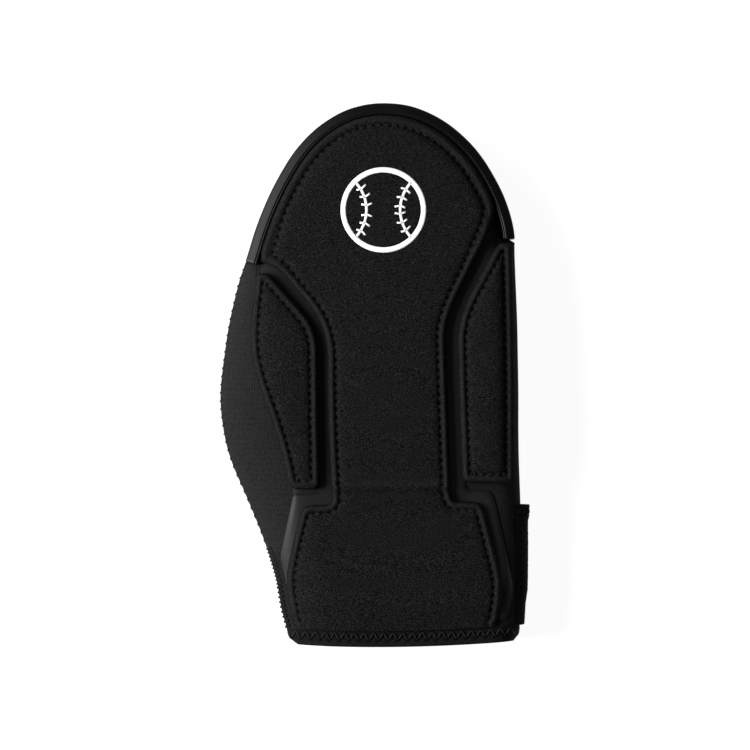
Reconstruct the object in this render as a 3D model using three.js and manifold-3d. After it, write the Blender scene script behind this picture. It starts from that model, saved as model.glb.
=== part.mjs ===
// Sliding mitt for the right hand, lying palm down. Millimetres.
// +X points to the outer side of the hand, +Y to the fingertips, +Z up out of the back of the hand.
// The origin is the middle of the outline, on the surface that the palm rests on.
import * as THREE from "three";
import { mergeVertices } from "three/addons/utils/BufferGeometryUtils.js";
import Module from "manifold-3d";

const wasm = await Module();
wasm.setup();

// Main sizes
const MITT_LENGTH = 271.5;
const MITT_WIDTH = 155;
const BACK_HEIGHT = 36;
const FIT_GAP = 0.3;

// Sleeve and hem
const SLEEVE_WALL = 2.5;
const HEM_WALL = 3;
const HEM_LENGTH = 7.5;
// How much higher the hem lies at half the width than in its middle, and the share of the length that bends with it.
const HEM_RISE = 3.7;
const HEM_RISE_ALONG = 0.2;
const THUMB_SHOULDER = 42;
const OUTER_SHOULDER = 13;
const PALM_SHOULDER = 12;
const SHOULDER_ROUNDNESS = 2.4;

// Rim round the fingertips
const BUMPER_WIDTH = 4.4;
const BUMPER_LIP = 1.4;
const BUMPER_RISE = 3;
const BUMPER_CLEARANCE = 1;
const BUMPER_STEP_LENGTH = 2.4;
const BUMPER_FACE_ROUNDNESS = { across: 0.8, up: 0.6 };

// Layers on the back and under the palm
const FILM_THICKNESS = 1;
const FILM_SHORTER = 1;
const PAD_THICKNESS = 4.5;
const PAD_CORNER = 4;
const PAD_STIFF_EDGE = 6;
const EDGE_ROLL = 3;
const EDGE_DROP = 0.45;
const PALM_PAD_THICKNESS = 3;
const PALM_PAD_MARGIN = 9;

// Strap round the wrist
const STRAP_WIDTH = 63;
const STRAP_THICKNESS = 2.2;
const STRAP_BULGE = 2;
const STRAP_FROM_HEM = 7.8;
// How far the strap stands off at its loosest, from its lower edge (up 0) to its upper edge (up 1), as a share of
// STRAP_BULGE.
const STRAP_STAND = [
  { up: 0, off: 0 },
  { up: 0.18, off: 0.1 },
  { up: 0.3, off: 0.55 },
  { up: 0.86, off: 0.65 },
  { up: 0.94, off: 0.95 },
  { up: 1, off: 1 },
];
// Steps of the ring round the sleeve that the strap covers, and those over which it lies down again.
const STRAP_STEPS = { above: 3, under: 26, flat: 6 };

// The outline seen from above. along: share of the length, from the hem (0) to the fingertips (1).
// left and right: shares of half the width.
const OUTLINE = [
  { along: 1, left: 0.049, right: 0.049 },
  { along: 0.9967, left: -0.067, right: 0.175 },
  { along: 0.9875, left: -0.177, right: 0.288 },
  { along: 0.969, left: -0.297, right: 0.423 },
  { along: 0.951, left: -0.39, right: 0.518 },
  { along: 0.914, left: -0.512, right: 0.649 },
  { along: 0.877, left: -0.597, right: 0.739 },
  { along: 0.822, left: -0.696, right: 0.836 },
  { along: 0.766, left: -0.773, right: 0.891 },
  { along: 0.711, left: -0.832, right: 0.9 },
  { along: 0.674, left: -0.877, right: 0.905 },
  { along: 0.6, left: -0.939, right: 0.915 },
  { along: 0.545, left: -0.97, right: 0.919 },
  { along: 0.462, left: -1, right: 0.923 },
  { along: 0.398, left: -0.98, right: 0.923 },
  { along: 0.343, left: -0.932, right: 0.926 },
  { along: 0.269, left: -0.823, right: 0.935 },
  { along: 0.195, left: -0.719, right: 0.94 },
  { along: 0.122, left: -0.641, right: 0.94 },
  { along: 0.066, left: -0.607, right: 0.937 },
  { along: 0.03, left: -0.574, right: 0.932 },
  { along: 0.012, left: -0.556, right: 0.925 },
  { along: 0, left: -0.5, right: 0.89 },
];

// Height of the sleeve's back above the rest, as a share of BACK_HEIGHT.
const BACK_PROFILE = [
  { along: 1, high: 0.58 },
  { along: 0.93, high: 0.65 },
  { along: 0.8, high: 0.78 },
  { along: 0.62, high: 0.93 },
  { along: 0.45, high: 1 },
  { along: 0.25, high: 0.95 },
  { along: 0, high: 0.9 },
];

// Where the rim ends on the thumb side and on the outer side, as shares of the length.
const BUMPER_END = { left: 0.708, right: 0.75 };

// Where the palm pad ends, is widest and meets the rim, as shares of the length.
const PALM_PAD_ALONG = { heel: 0.36, waist: 0.55, fingers: 0.72 };

// The seam between the knit and the sleeve on the thumb side, from the rim to the hem.
const GUSSET_SEAM = [
  { across: -0.76, along: 0.7 },
  { across: -0.77, along: 0.637 },
  { across: -0.77, along: 0.555 },
  { across: -0.64, along: 0.43 },
  { across: -0.525, along: 0.3 },
  { across: -0.525, along: 0.27 },
  { across: -0.6, along: 0.165 },
  { across: -0.565, along: 0.11 },
  { across: -0.5, along: 0.03 },
  { across: -0.48, along: -0.02 },
];

// Panel outlines. across: share of half the width. along: share of the length. soft: share of PAD_CORNER
// used to round the corner. Each panel has four sides, each from one corner to the next.
const CENTRE_PAD = {
  left: [
    { across: -0.742, along: 0.708, soft: 0.5 },
    { across: -0.622, along: 0.695, soft: 1.5 },
    { across: -0.306, along: 0.588, soft: 4 },
    { across: -0.306, along: 0.44, soft: 4 },
    { across: -0.282, along: 0.292, soft: 0.4 },
  ],
  right: [
    { across: 0.486, along: 0.292, soft: 0.4 },
    { across: 0.455, along: 0.54, soft: 5 },
    { across: 0.455, along: 0.602, soft: 4 },
    { across: 0.742, along: 0.766, soft: 3 },
    { across: 0.772, along: 0.806, soft: 1 },
  ],
};
const WRIST_PANEL = {
  left: [
    { across: -0.282, along: 0.289, soft: 0.4 },
    { across: -0.275, along: 0.262, soft: 0.8 },
    { across: -0.47, along: 0.26, soft: 1.2 },
    { across: -0.54, along: 0.18, soft: 4 },
    { across: -0.583, along: 0.118, soft: 4 },
    { across: -0.525, along: 0.036, soft: 1 },
  ],
  right: [
    { across: 0.783, along: 0.036, soft: 1 },
    { across: 0.825, along: 0.107, soft: 4 },
    { across: 0.785, along: 0.166, soft: 4 },
    { across: 0.69, along: 0.266, soft: 1.2 },
    { across: 0.497, along: 0.268, soft: 0.8 },
    { across: 0.486, along: 0.289, soft: 0.4 },
  ],
};
const THUMB_SIDE_PAD = {
  left: [
    { across: -0.765, along: 0.686, soft: 0.6 },
    { across: -0.805, along: 0.591, soft: 6 },
    { across: -0.797, along: 0.518, soft: 5 },
    { across: -0.62, along: 0.385, soft: 5 },
    { across: -0.548, along: 0.29, soft: 1 },
  ],
  right: [
    { across: -0.352, along: 0.29, soft: 1 },
    { across: -0.362, along: 0.45, soft: 4 },
    { across: -0.366, along: 0.585, soft: 3 },
    { across: -0.684, along: 0.686, soft: 0.8 },
  ],
};
const OUTER_SIDE_PAD = {
  left: [
    { across: 0.79, along: 0.742, soft: 0.8 },
    { across: 0.528, along: 0.605, soft: 4 },
    { across: 0.53, along: 0.52, soft: 4 },
    { across: 0.558, along: 0.303, soft: 1 },
  ],
  right: [
    { across: 0.882, along: 0.303, soft: 1 },
    { across: 0.878, along: 0.52, soft: 4 },
    { across: 0.868, along: 0.742, soft: 0.6 },
  ],
};
const BACK_FILM = {
  left: [
    { across: -0.735, along: 0.705, soft: 0.6 },
    { across: -0.755, along: 0.637, soft: 4 },
    { across: -0.755, along: 0.555, soft: 4 },
    { across: -0.645, along: 0.43, soft: 4 },
    { across: -0.535, along: 0.3, soft: 1 },
    { across: -0.53, along: 0.275, soft: 0.6 },
    { across: -0.613, along: 0.164, soft: 0.6 },
    { across: -0.56, along: 0.098, soft: 0.6 },
  ],
  right: [
    { across: 0.868, along: 0.038, soft: 1 },
    { across: 0.88, along: 0.105, soft: 3 },
    { across: 0.862, along: 0.175, soft: 3 },
    { across: 0.768, along: 0.268, soft: 1 },
    { across: 0.74, along: 0.288, soft: 1 },
    { across: 0.585, along: 0.288, soft: 0.6 },
    { across: 0.572, along: 0.305, soft: 0.3 },
    { across: 0.85, along: 0.312, soft: 0.6 },
    { across: 0.848, along: 0.6, soft: 4 },
    { across: 0.82, along: 0.735, soft: 0.6 },
  ],
};

const HALF_WIDTH = MITT_WIDTH / 2;
const HEM_Y = -MITT_LENGTH / 2;
const TIP_Y = MITT_LENGTH / 2;
const PALM_LEVEL = PALM_PAD_THICKNESS + FIT_GAP;
const PAD_MARGIN = BUMPER_WIDTH + BUMPER_LIP + FIT_GAP;
const FILM_MARGIN = PAD_MARGIN + FILM_SHORTER;
const FILM_LEVEL = FIT_GAP;
const PAD_LEVEL = FILM_LEVEL + FILM_THICKNESS + FIT_GAP;

// How far a cutting body reaches past the surface that it cuts.
const CUT_DEPTH = 1.5;
const TINY = 1e-6;

// How finely the curves are divided.
const RING_STEPS = 28;
const STATION_COUNT = 18;
const STATION_CROWDING = 1.7;
const CLOSEST_STATIONS = 1.2;
const TIP_CUT = 0.4;
const EDGE_SAMPLES = 90;
const INSET_SAMPLES = 24;
const ARC_SAMPLES = 24;
const BUMPER_STEPS = 18;
const BUMPER_SECTION_STEPS = 6;
const HEM_STATIONS = [0, 0.2, 0.45, 1];
const STRAP_RING_STEPS = 64;
const GRIDS = {
  centre_pad: { rows: 14, columns: 14 },
  side_pads: { rows: 12, columns: 4 },
  wrist_panel: { rows: 8, columns: 12 },
  back_film: { rows: 30, columns: 24 },
  palm_pad: { rows: 12, columns: 10 },
};

const alongOf = (y) => (y - HEM_Y) / MITT_LENGTH;
const yOf = (along) => HEM_Y + along * MITT_LENGTH;
const xOf = (across) => across * HALF_WIDTH;

// A smooth value read from a table whose rows run from the fingertips to the hem. The place is measured by the
// square root of the distance from the fingertips, so that the round end keeps its shape.
function readTable(rows, column, along) {
  const place = (row) => Math.sqrt(1 - row.along);
  const at = Math.sqrt(1 - THREE.MathUtils.clamp(along, 0, 1));
  let i = 0;
  while (i < rows.length - 2 && at > place(rows[i + 1])) {
    i += 1;
  }
  const slope = (k) => {
    const before = rows[Math.max(k - 1, 0)];
    const after = rows[Math.min(k + 1, rows.length - 1)];
    return (after[column] - before[column]) / (place(after) - place(before));
  };
  const span = place(rows[i + 1]) - place(rows[i]);
  const t = (at - place(rows[i])) / span;
  const rise = rows[i + 1][column] - rows[i][column];
  const bendStart = slope(i) * span - rise;
  const bendEnd = slope(i + 1) * span - rise;
  return rows[i][column] + rise * t + t * (1 - t) * (bendStart * (1 - t) - bendEnd * t);
}

// Edge of the whole mitt. side is -1 for the thumb side and 1 for the outer side.
function mittEdge(side, y) {
  return xOf(readTable(OUTLINE, side < 0 ? "left" : "right", alongOf(y)));
}

// An edge moved inwards by a depth measured square to it: the farthest reach of a round disc rolled along it.
function insetEdge(edge, side, y, depth) {
  if (depth === 0) {
    return edge(side, y);
  }
  let best = Infinity;
  for (let k = 0; k <= INSET_SAMPLES; k += 1) {
    const angle = ((k / INSET_SAMPLES) * 2 - 1) * (Math.PI / 2);
    const reach = side * edge(side, y + depth * Math.sin(angle)) - depth * Math.cos(angle);
    best = Math.min(best, reach);
  }
  return side * best;
}

// Edge of the sleeve: under the rim it steps in, so that the rim stands flush with the knit and the outer side.
function sleeveEdge(side, y, grown = 0) {
  const seatDepth = BUMPER_WIDTH + FIT_GAP - grown;
  const open = mittEdge(side, y) + side * grown;
  const seated = insetEdge(mittEdge, side, Math.min(y, TIP_Y - seatDepth), seatDepth);
  const rimEnd = yOf(side < 0 ? BUMPER_END.left : BUMPER_END.right);
  const share = THREE.MathUtils.smoothstep(y, rimEnd - BUMPER_STEP_LENGTH, rimEnd);
  return THREE.MathUtils.lerp(open, seated, share);
}

function distanceToLine(x, y, line) {
  let best = Infinity;
  for (let i = 0; i + 1 < line.length; i += 1) {
    const [ax, ay] = line[i];
    const [bx, by] = line[i + 1];
    const length = (bx - ax) ** 2 + (by - ay) ** 2;
    const t = THREE.MathUtils.clamp(((x - ax) * (bx - ax) + (y - ay) * (by - ay)) / length, 0, 1);
    best = Math.min(best, Math.hypot(x - ax - t * (bx - ax), y - ay - t * (by - ay)));
  }
  return best;
}

// Rise of a rounded shoulder: 0 at the edge, 1 from the reach inwards.
function shoulder(distance, reach) {
  const left = 1 - Math.min(distance / reach, 1);
  return (1 - left ** SHOULDER_ROUNDNESS) ** (1 / SHOULDER_ROUNDNESS);
}

// A flattened hollow or solid form with round shoulders. inset moves its wall in from the sleeve's outside.
class SleeveForm {
  constructor(inset) {
    this.inset = inset;
    this.tip = TIP_Y - BUMPER_WIDTH - FIT_GAP - inset;
    const edgeLine = (side) => {
      const line = [];
      for (let k = 0; k <= EDGE_SAMPLES; k += 1) {
        const y = this.tip - (this.tip - HEM_Y + HEM_LENGTH) * (k / EDGE_SAMPLES) ** 2;
        line.push([this.edge(side, y), y]);
      }
      return line;
    };
    this.leftLine = edgeLine(-1);
    this.rightLine = edgeLine(1);
  }

  edge(side, y) {
    if (this.inset <= 0) {
      return sleeveEdge(side, y, -this.inset);
    }
    return insetEdge(sleeveEdge, side, Math.min(y, this.tip), this.inset);
  }

  // Shares of the full height at a place, on the back and on the palm. Places nearer to the edge than `least`
  // count as that far in.
  shares(x, y, least) {
    const toThumb = distanceToLine(x, y, this.leftLine) + TINY;
    const toOuter = distanceToLine(x, y, this.rightLine) + TINY;
    const near = Math.max((toThumb ** -4 + toOuter ** -4) ** -0.25, least);
    const thumbShare = toOuter / (toThumb + toOuter);
    const rimStart = yOf(BUMPER_END.left);
    const openSide = 1 - THREE.MathUtils.smoothstep(y, rimStart - THUMB_SHOULDER, rimStart);
    const backReach = THREE.MathUtils.lerp(OUTER_SHOULDER, THUMB_SHOULDER, openSide * thumbShare ** 2);
    return { back: shoulder(near, backReach), palm: shoulder(near, PALM_SHOULDER) };
  }

  heights(x, y, least = 0) {
    const top = BACK_HEIGHT * readTable(BACK_PROFILE, "high", alongOf(y)) - this.inset;
    const base = PALM_LEVEL + this.inset;
    const middle = (top + base) / 2;
    const { back, palm } = this.shares(x, y, least);
    return { back: middle + (top - middle) * back, palm: middle - (middle - base) * palm };
  }

  // One closed ring at a station, turning from the outer side over the back to the thumb side and under the palm.
  ring(y, steps) {
    const left = this.edge(-1, y);
    const right = this.edge(1, y);
    const points = [];
    for (let k = 0; k < steps; k += 1) {
      const angle = (k / steps) * Math.PI * 2;
      const x = (left + right) / 2 + ((right - left) / 2) * Math.cos(angle);
      const { back, palm } = this.heights(x, y);
      const onEdge = k === 0 || k * 2 === steps;
      const z = onEdge ? (back + palm) / 2 : angle < Math.PI ? back : palm;
      points.push([x, y, z]);
    }
    return points;
  }
}

const SLEEVE_OUTSIDE = new SleeveForm(0);
const SLEEVE_INSIDE = new SleeveForm(SLEEVE_WALL);
const HEM_INSIDE = new SleeveForm(HEM_WALL);
const RIM_SEAT = new SleeveForm(-FIT_GAP);

function backHeight(x, y) {
  return SLEEVE_OUTSIDE.heights(x, y).back;
}

// The surface that the padded panels follow: the back, kept from falling away at its very edge.
function padSeatHeight(x, y) {
  return SLEEVE_OUTSIDE.heights(x, y, PAD_STIFF_EDGE).back;
}

function palmHeight(x, y) {
  return SLEEVE_OUTSIDE.heights(x, y).palm;
}

// Collects points and faces into one closed mesh.
class MeshBuilder {
  constructor() {
    this.points = [];
    this.faces = [];
  }

  addRing(points) {
    const first = this.points.length;
    this.points.push(...points);
    return points.map((_, i) => first + i);
  }

  face(a, b, c) {
    this.faces.push(a, b, c);
  }

  quad(a, b, c, d) {
    this.face(a, b, c);
    this.face(a, c, d);
  }

  // Joins two rings of the same count; flip turns the faces round.
  joinRings(low, high, flip = false) {
    low.forEach((_, i) => {
      const j = (i + 1) % low.length;
      if (flip) {
        this.quad(low[i], high[i], high[j], low[j]);
      } else {
        this.quad(low[i], low[j], high[j], high[i]);
      }
    });
  }

  // Closes a ring with a fan from its middle.
  capRing(ring, flip = false) {
    const middle = [0, 1, 2].map((axis) => ring.reduce((sum, i) => sum + this.points[i][axis], 0) / ring.length);
    const [centre] = this.addRing([middle]);
    ring.forEach((_, i) => {
      const j = (i + 1) % ring.length;
      if (flip) {
        this.face(ring[j], ring[i], centre);
      } else {
        this.face(ring[i], ring[j], centre);
      }
    });
  }

  geometry() {
    const geometry = new THREE.BufferGeometry();
    geometry.setAttribute("position", new THREE.Float32BufferAttribute(this.points.flat(), 3));
    geometry.setIndex(this.faces);
    return geometry;
  }
}

// Stations from one y to another, closer together towards the fingertips, with the steps at the rim's ends added.
function sleeveStations(from, to, count) {
  const stations = [];
  for (let k = 0; k <= count; k += 1) {
    stations.push(to - (to - from) * (1 - k / count) ** STATION_CROWDING);
  }
  for (const end of [yOf(BUMPER_END.left), yOf(BUMPER_END.right)]) {
    for (const step of [end - BUMPER_STEP_LENGTH, end - BUMPER_STEP_LENGTH / 2, end]) {
      stations.push(step);
    }
  }
  stations.sort((a, b) => a - b);
  const isEnd = (i) => i === 0 || i === stations.length - 1;
  return stations.filter((y, i) => isEnd(i) || y - stations[i - 1] > CLOSEST_STATIONS);
}

// The hollow sleeve, open at the hem end.
function sleeveShell(from) {
  const builder = new MeshBuilder();
  const skin = (form, flip) => {
    const stations = sleeveStations(from, form.tip - TIP_CUT, STATION_COUNT);
    const rings = stations.map((y) => builder.addRing(form.ring(y, RING_STEPS)));
    for (let k = 0; k + 1 < rings.length; k += 1) {
      builder.joinRings(rings[k], rings[k + 1], !flip);
    }
    builder.capRing(rings[rings.length - 1], !flip);
    return rings[0];
  };
  const outer = skin(SLEEVE_OUTSIDE, false);
  const inner = skin(SLEEVE_INSIDE, true);
  builder.joinRings(inner, outer, true);
  return builder.geometry();
}

// The same form without its hollow, moved up by a distance: it cuts the pieces that lie on it to their seats.
function sleeveBlock(form, lift) {
  const builder = new MeshBuilder();
  const stations = sleeveStations(HEM_Y + HEM_LENGTH, form.tip - TIP_CUT, STATION_COUNT);
  const ringAt = (y) => form.ring(y, RING_STEPS).map((point) => [point[0], point[1], point[2] + lift]);
  const hemRing = form.ring(HEM_Y + HEM_LENGTH, RING_STEPS);
  const rings = [builder.addRing(hemRing.map((point) => [point[0], HEM_Y - HEM_LENGTH, point[2] + lift]))];
  rings.push(...stations.map((y) => builder.addRing(ringAt(y))));
  for (let k = 0; k + 1 < rings.length; k += 1) {
    builder.joinRings(rings[k], rings[k + 1], true);
  }
  builder.capRing(rings[rings.length - 1], true);
  builder.capRing(rings[0]);
  return solidOf(builder.geometry());
}

function solidOf(geometry) {
  const plain = geometry.clone();
  plain.deleteAttribute("normal");
  plain.deleteAttribute("uv");
  const merged = mergeVertices(plain, 1e-4);
  return new wasm.Manifold(
    new wasm.Mesh({
      numProp: 3,
      vertProperties: Float32Array.from(merged.attributes.position.array),
      triVerts: Uint32Array.from(merged.index.array),
    }),
  );
}

function geometryOf(solid) {
  const mesh = solid.getMesh();
  const geometry = new THREE.BufferGeometry();
  geometry.setAttribute("position", new THREE.BufferAttribute(mesh.vertProperties, 3));
  geometry.setIndex(new THREE.BufferAttribute(mesh.triVerts, 1));
  return geometry;
}

// A tall block on the thumb side of the gusset seam; back moves its inner face towards the thumb.
function gussetBlock(back) {
  const tall = BACK_HEIGHT * 2;
  const top = yOf(BUMPER_END.left) - back;
  const shape = new THREE.Shape();
  shape.moveTo(-MITT_WIDTH, top);
  shape.lineTo(xOf(GUSSET_SEAM[0].across) - back, top);
  for (const row of GUSSET_SEAM) {
    shape.lineTo(xOf(row.across) - back, yOf(row.along));
  }
  shape.lineTo(-MITT_WIDTH, yOf(GUSSET_SEAM[GUSSET_SEAM.length - 1].along));
  const geometry = new THREE.ExtrudeGeometry(shape, { depth: tall, bevelEnabled: false });
  geometry.translate(0, 0, -tall / 4);
  return geometry;
}

// Point on the way from one place to another, no farther than half way.
function partWay(from, to, distance) {
  return from.clone().lerp(to, Math.min(distance / from.distanceTo(to), 0.5));
}

// One side of a panel: straight runs with rounded corners. before and after are the neighbours past its ends.
function panelSide(rows, before, after, count) {
  const place = (row) => new THREE.Vector2(xOf(row.across), yOf(row.along));
  const round = (row) => row.soft * PAD_CORNER;
  const path = new THREE.Path();
  const corner = (row, previous, next) => {
    const at = place(row);
    return [partWay(at, place(previous), round(row)), at, partWay(at, place(next), round(row))];
  };
  rows.forEach((row, i) => {
    const [entry, at, exit] = corner(row, rows[i - 1] ?? before, rows[i + 1] ?? after);
    const middle = entry.clone().add(exit).addScaledVector(at, 2).divideScalar(4);
    if (i === 0) {
      path.moveTo(middle.x, middle.y);
      const control = at.clone().add(exit).divideScalar(2);
      path.quadraticCurveTo(control.x, control.y, exit.x, exit.y);
      return;
    }
    path.lineTo(entry.x, entry.y);
    if (i === rows.length - 1) {
      const control = at.clone().add(entry).divideScalar(2);
      path.quadraticCurveTo(control.x, control.y, middle.x, middle.y);
      return;
    }
    path.quadraticCurveTo(at.x, at.y, exit.x, exit.y);
  });
  return path.getSpacedPoints(count);
}

// The four sides of a panel whose ends are straight lines between its left and right sides.
function plainPanelSides({ left, right }, rows, columns) {
  const [leftTop, leftBottom] = [left[0], left[left.length - 1]];
  const [rightBottom, rightTop] = [right[0], right[right.length - 1]];
  const beforeLast = (side) => side[side.length - 2];
  return {
    left: panelSide(left, rightTop, rightBottom, rows),
    bottom: panelSide([leftBottom, rightBottom], beforeLast(left), right[1], columns),
    right: panelSide(right, leftBottom, leftTop, rows),
    top: panelSide([rightTop, leftTop], beforeLast(right), left[1], columns),
  };
}

// The arc that follows the fingertip end at a depth, from a place on the outer side to one on the thumb side.
function tipArc(rightEnd, leftEnd, depth, columns) {
  const top = TIP_Y - depth;
  const path = new THREE.Path();
  path.moveTo(rightEnd.x, rightEnd.y);
  for (let k = ARC_SAMPLES - 1; k >= 0; k -= 1) {
    const y = top - (top - rightEnd.y - depth / 2) * (k / ARC_SAMPLES) ** 2;
    path.lineTo(insetEdge(mittEdge, 1, y, depth), y);
  }
  for (let k = 1; k < ARC_SAMPLES; k += 1) {
    const y = top - (top - leftEnd.y - depth / 2) * (k / ARC_SAMPLES) ** 2;
    path.lineTo(insetEdge(mittEdge, -1, y, depth), y);
  }
  path.lineTo(leftEnd.x, leftEnd.y);
  return path.getSpacedPoints(columns);
}

// A panel whose top follows the fingertip end.
function tipPanelSides({ left, right }, depth, rows, columns) {
  const leftSide = panelSide(left, left[0], right[0], rows);
  const rightSide = panelSide(right, left[left.length - 1], right[right.length - 1], rows);
  const bottomEnds = [left[left.length - 1], right[0]];
  return {
    left: leftSide,
    bottom: panelSide(bottomEnds, left[left.length - 2], right[1], columns),
    right: rightSide,
    top: tipArc(rightSide[rows], leftSide[0], depth, columns),
  };
}

// The closed loop of a panel: down the left, along the bottom, up the right, back along the top.
function loopOf(sides) {
  return [sides.left, sides.bottom, sides.right, sides.top].flatMap((side) => side.slice(0, -1));
}

// The loop moved inwards by a distance square to it.
function insetLoop(loop, distance) {
  return loop.map((point, i) => {
    const before = loop[(i + loop.length - 1) % loop.length];
    const after = loop[(i + 1) % loop.length];
    const run = after.clone().sub(before).normalize();
    return new THREE.Vector2(point.x - run.y * distance, point.y + run.x * distance);
  });
}

// Fills the inside of a loop with rows of points between its four sides.
function fillLoop(loop, rows, columns) {
  const left = (r) => loop[r];
  const bottom = (c) => loop[rows + c];
  const right = (r) => loop[2 * rows + columns - r];
  const top = (c) => loop[(2 * rows + 2 * columns - c) % loop.length];
  const grid = [];
  for (let r = 1; r < rows; r += 1) {
    for (let c = 1; c < columns; c += 1) {
      const [u, v] = [c / columns, r / rows];
      const along = left(r).clone().multiplyScalar(1 - u).addScaledVector(right(r), u);
      const across = top(c).clone().multiplyScalar(1 - v).addScaledVector(bottom(c), v);
      const corners = left(0).clone().multiplyScalar((1 - u) * (1 - v));
      corners.addScaledVector(right(0), u * (1 - v));
      corners.addScaledVector(left(rows), (1 - u) * v);
      corners.addScaledVector(right(rows), u * v);
      grid.push(along.add(across).sub(corners));
    }
  }
  return grid;
}

// A closed panel. upper and lower give the height of its faces at a place and at a depth from its edge.
function panel(sides, rows, columns, insets, upper, lower) {
  const builder = new MeshBuilder();
  const loop = loopOf(sides);
  const face = (height, depths, up) => {
    const rings = depths.map((depth) => {
      const moved = insetLoop(loop, depth);
      return builder.addRing(moved.map((p) => [p.x, p.y, height(p.x, p.y, depth)]));
    });
    for (let k = 0; k + 1 < rings.length; k += 1) {
      builder.joinRings(rings[k], rings[k + 1], !up);
    }
    const innermost = insetLoop(loop, depths[depths.length - 1]);
    const inside = fillLoop(innermost, rows, columns);
    const filled = builder.addRing(inside.map((p) => [p.x, p.y, height(p.x, p.y, Infinity)]));
    const ring = rings[rings.length - 1];
    const at = (r, c) => {
      if (c === 0) {
        return ring[r];
      }
      if (r === rows) {
        return ring[rows + c];
      }
      if (c === columns) {
        return ring[2 * rows + columns - r];
      }
      if (r === 0) {
        return ring[2 * rows + 2 * columns - c];
      }
      return filled[(r - 1) * (columns - 1) + c - 1];
    };
    for (let r = 0; r < rows; r += 1) {
      for (let c = 0; c < columns; c += 1) {
        if (up) {
          builder.quad(at(r, c), at(r + 1, c), at(r + 1, c + 1), at(r, c + 1));
        } else {
          builder.quad(at(r, c), at(r, c + 1), at(r + 1, c + 1), at(r + 1, c));
        }
      }
    }
    return rings[0];
  };
  const under = face(lower, [0, insets[insets.length - 1]], false);
  const over = face(upper, [0, ...insets], true);
  builder.joinRings(under, over);
  return builder.geometry();
}

// Height of a rolled pad edge at a depth from it, as a share of the pad's thickness.
function rolledEdge(depth) {
  return 1 - EDGE_DROP * (1 - Math.min(depth / EDGE_ROLL, 1)) ** 2;
}

const PAD_INSETS = [EDGE_ROLL * 0.4, EDGE_ROLL];

function paddedPanel(sides, rows, columns) {
  const upper = (x, y, depth) => padSeatHeight(x, y) + PAD_LEVEL + PAD_THICKNESS * rolledEdge(depth);
  const lower = (x, y) => backHeight(x, y) + PAD_LEVEL - CUT_DEPTH;
  const block = solidOf(panel(sides, rows, columns, PAD_INSETS, upper, lower));
  return geometryOf(block.subtract(sleeveBlock(SLEEVE_OUTSIDE, PAD_LEVEL)));
}

function centrePad() {
  const { rows, columns } = GRIDS.centre_pad;
  const sides = tipPanelSides(CENTRE_PAD, PAD_MARGIN, rows, columns);
  return paddedPanel(sides, rows, columns);
}

function plainPad(outline, { rows, columns }) {
  return paddedPanel(plainPanelSides(outline, rows, columns), rows, columns);
}

function backFilm() {
  const { rows, columns } = GRIDS.back_film;
  const loop = loopOf(tipPanelSides(BACK_FILM, FILM_MARGIN, rows, columns));
  const block = new THREE.ExtrudeGeometry(new THREE.Shape(loop), { depth: BACK_HEIGHT * 2, bevelEnabled: false });
  block.translate(0, 0, PALM_LEVEL + SLEEVE_WALL);
  const top = sleeveBlock(SLEEVE_OUTSIDE, FILM_LEVEL + FILM_THICKNESS);
  const sheet = top.subtract(sleeveBlock(SLEEVE_OUTSIDE, FILM_LEVEL));
  return geometryOf(sheet.intersect(solidOf(block)));
}

// The flat pad that the mitt rests on: it follows the outline at a margin, from the heel of the hand to the
// fingertips.
function palmPad() {
  const inside = (side, along) => (mittEdge(side, yOf(along)) - side * PALM_PAD_MARGIN) / HALF_WIDTH;
  const row = (side, along, soft) => ({ across: inside(side, along), along, soft });
  const { heel, waist, fingers } = PALM_PAD_ALONG;
  const outline = {
    left: [row(-1, fingers, 1), row(-1, waist, 6), row(-1, heel, 3)],
    right: [row(1, heel, 3), row(1, waist, 4), row(1, fingers, 1)],
  };
  const over = (x, y) => palmHeight(x, y) + CUT_DEPTH;
  const under = () => 0;
  const { rows, columns } = GRIDS.palm_pad;
  const sides = tipPanelSides(outline, PALM_PAD_MARGIN, rows, columns);
  const block = solidOf(panel(sides, rows, columns, [1], over, under));
  return geometryOf(block.subtract(sleeveBlock(SLEEVE_OUTSIDE, -FIT_GAP)));
}

// The rim: a rounded strip swept round the fingertip end, cut to its seat on the sleeve.
function bumperSweep() {
  const path = [];
  const from = yOf(BUMPER_END.left);
  const to = yOf(BUMPER_END.right);
  for (let k = 0; k < BUMPER_STEPS; k += 1) {
    const y = TIP_Y - (TIP_Y - from) * (1 - k / BUMPER_STEPS) ** 2;
    path.push(new THREE.Vector2(mittEdge(-1, y), y));
  }
  for (let k = 0; k <= BUMPER_STEPS; k += 1) {
    const y = TIP_Y - (TIP_Y - to) * (k / BUMPER_STEPS) ** 2;
    path.push(new THREE.Vector2(mittEdge(1, y), y));
  }
  const builder = new MeshBuilder();
  const rings = path.map((point, i) => {
    const run = path[Math.min(i + 1, path.length - 1)].clone().sub(path[Math.max(i - 1, 0)]).normalize();
    const crest = BACK_HEIGHT * readTable(BACK_PROFILE, "high", alongOf(point.y)) + BUMPER_RISE;
    return builder.addRing(
      bumperSection(crest).map(([deep, z]) => [point.x + run.y * deep, point.y - run.x * deep, z]),
    );
  });
  for (let k = 0; k + 1 < rings.length; k += 1) {
    builder.joinRings(rings[k], rings[k + 1]);
  }
  builder.capRing(rings[0], true);
  builder.capRing(rings[rings.length - 1]);
  return builder.geometry();
}

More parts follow.
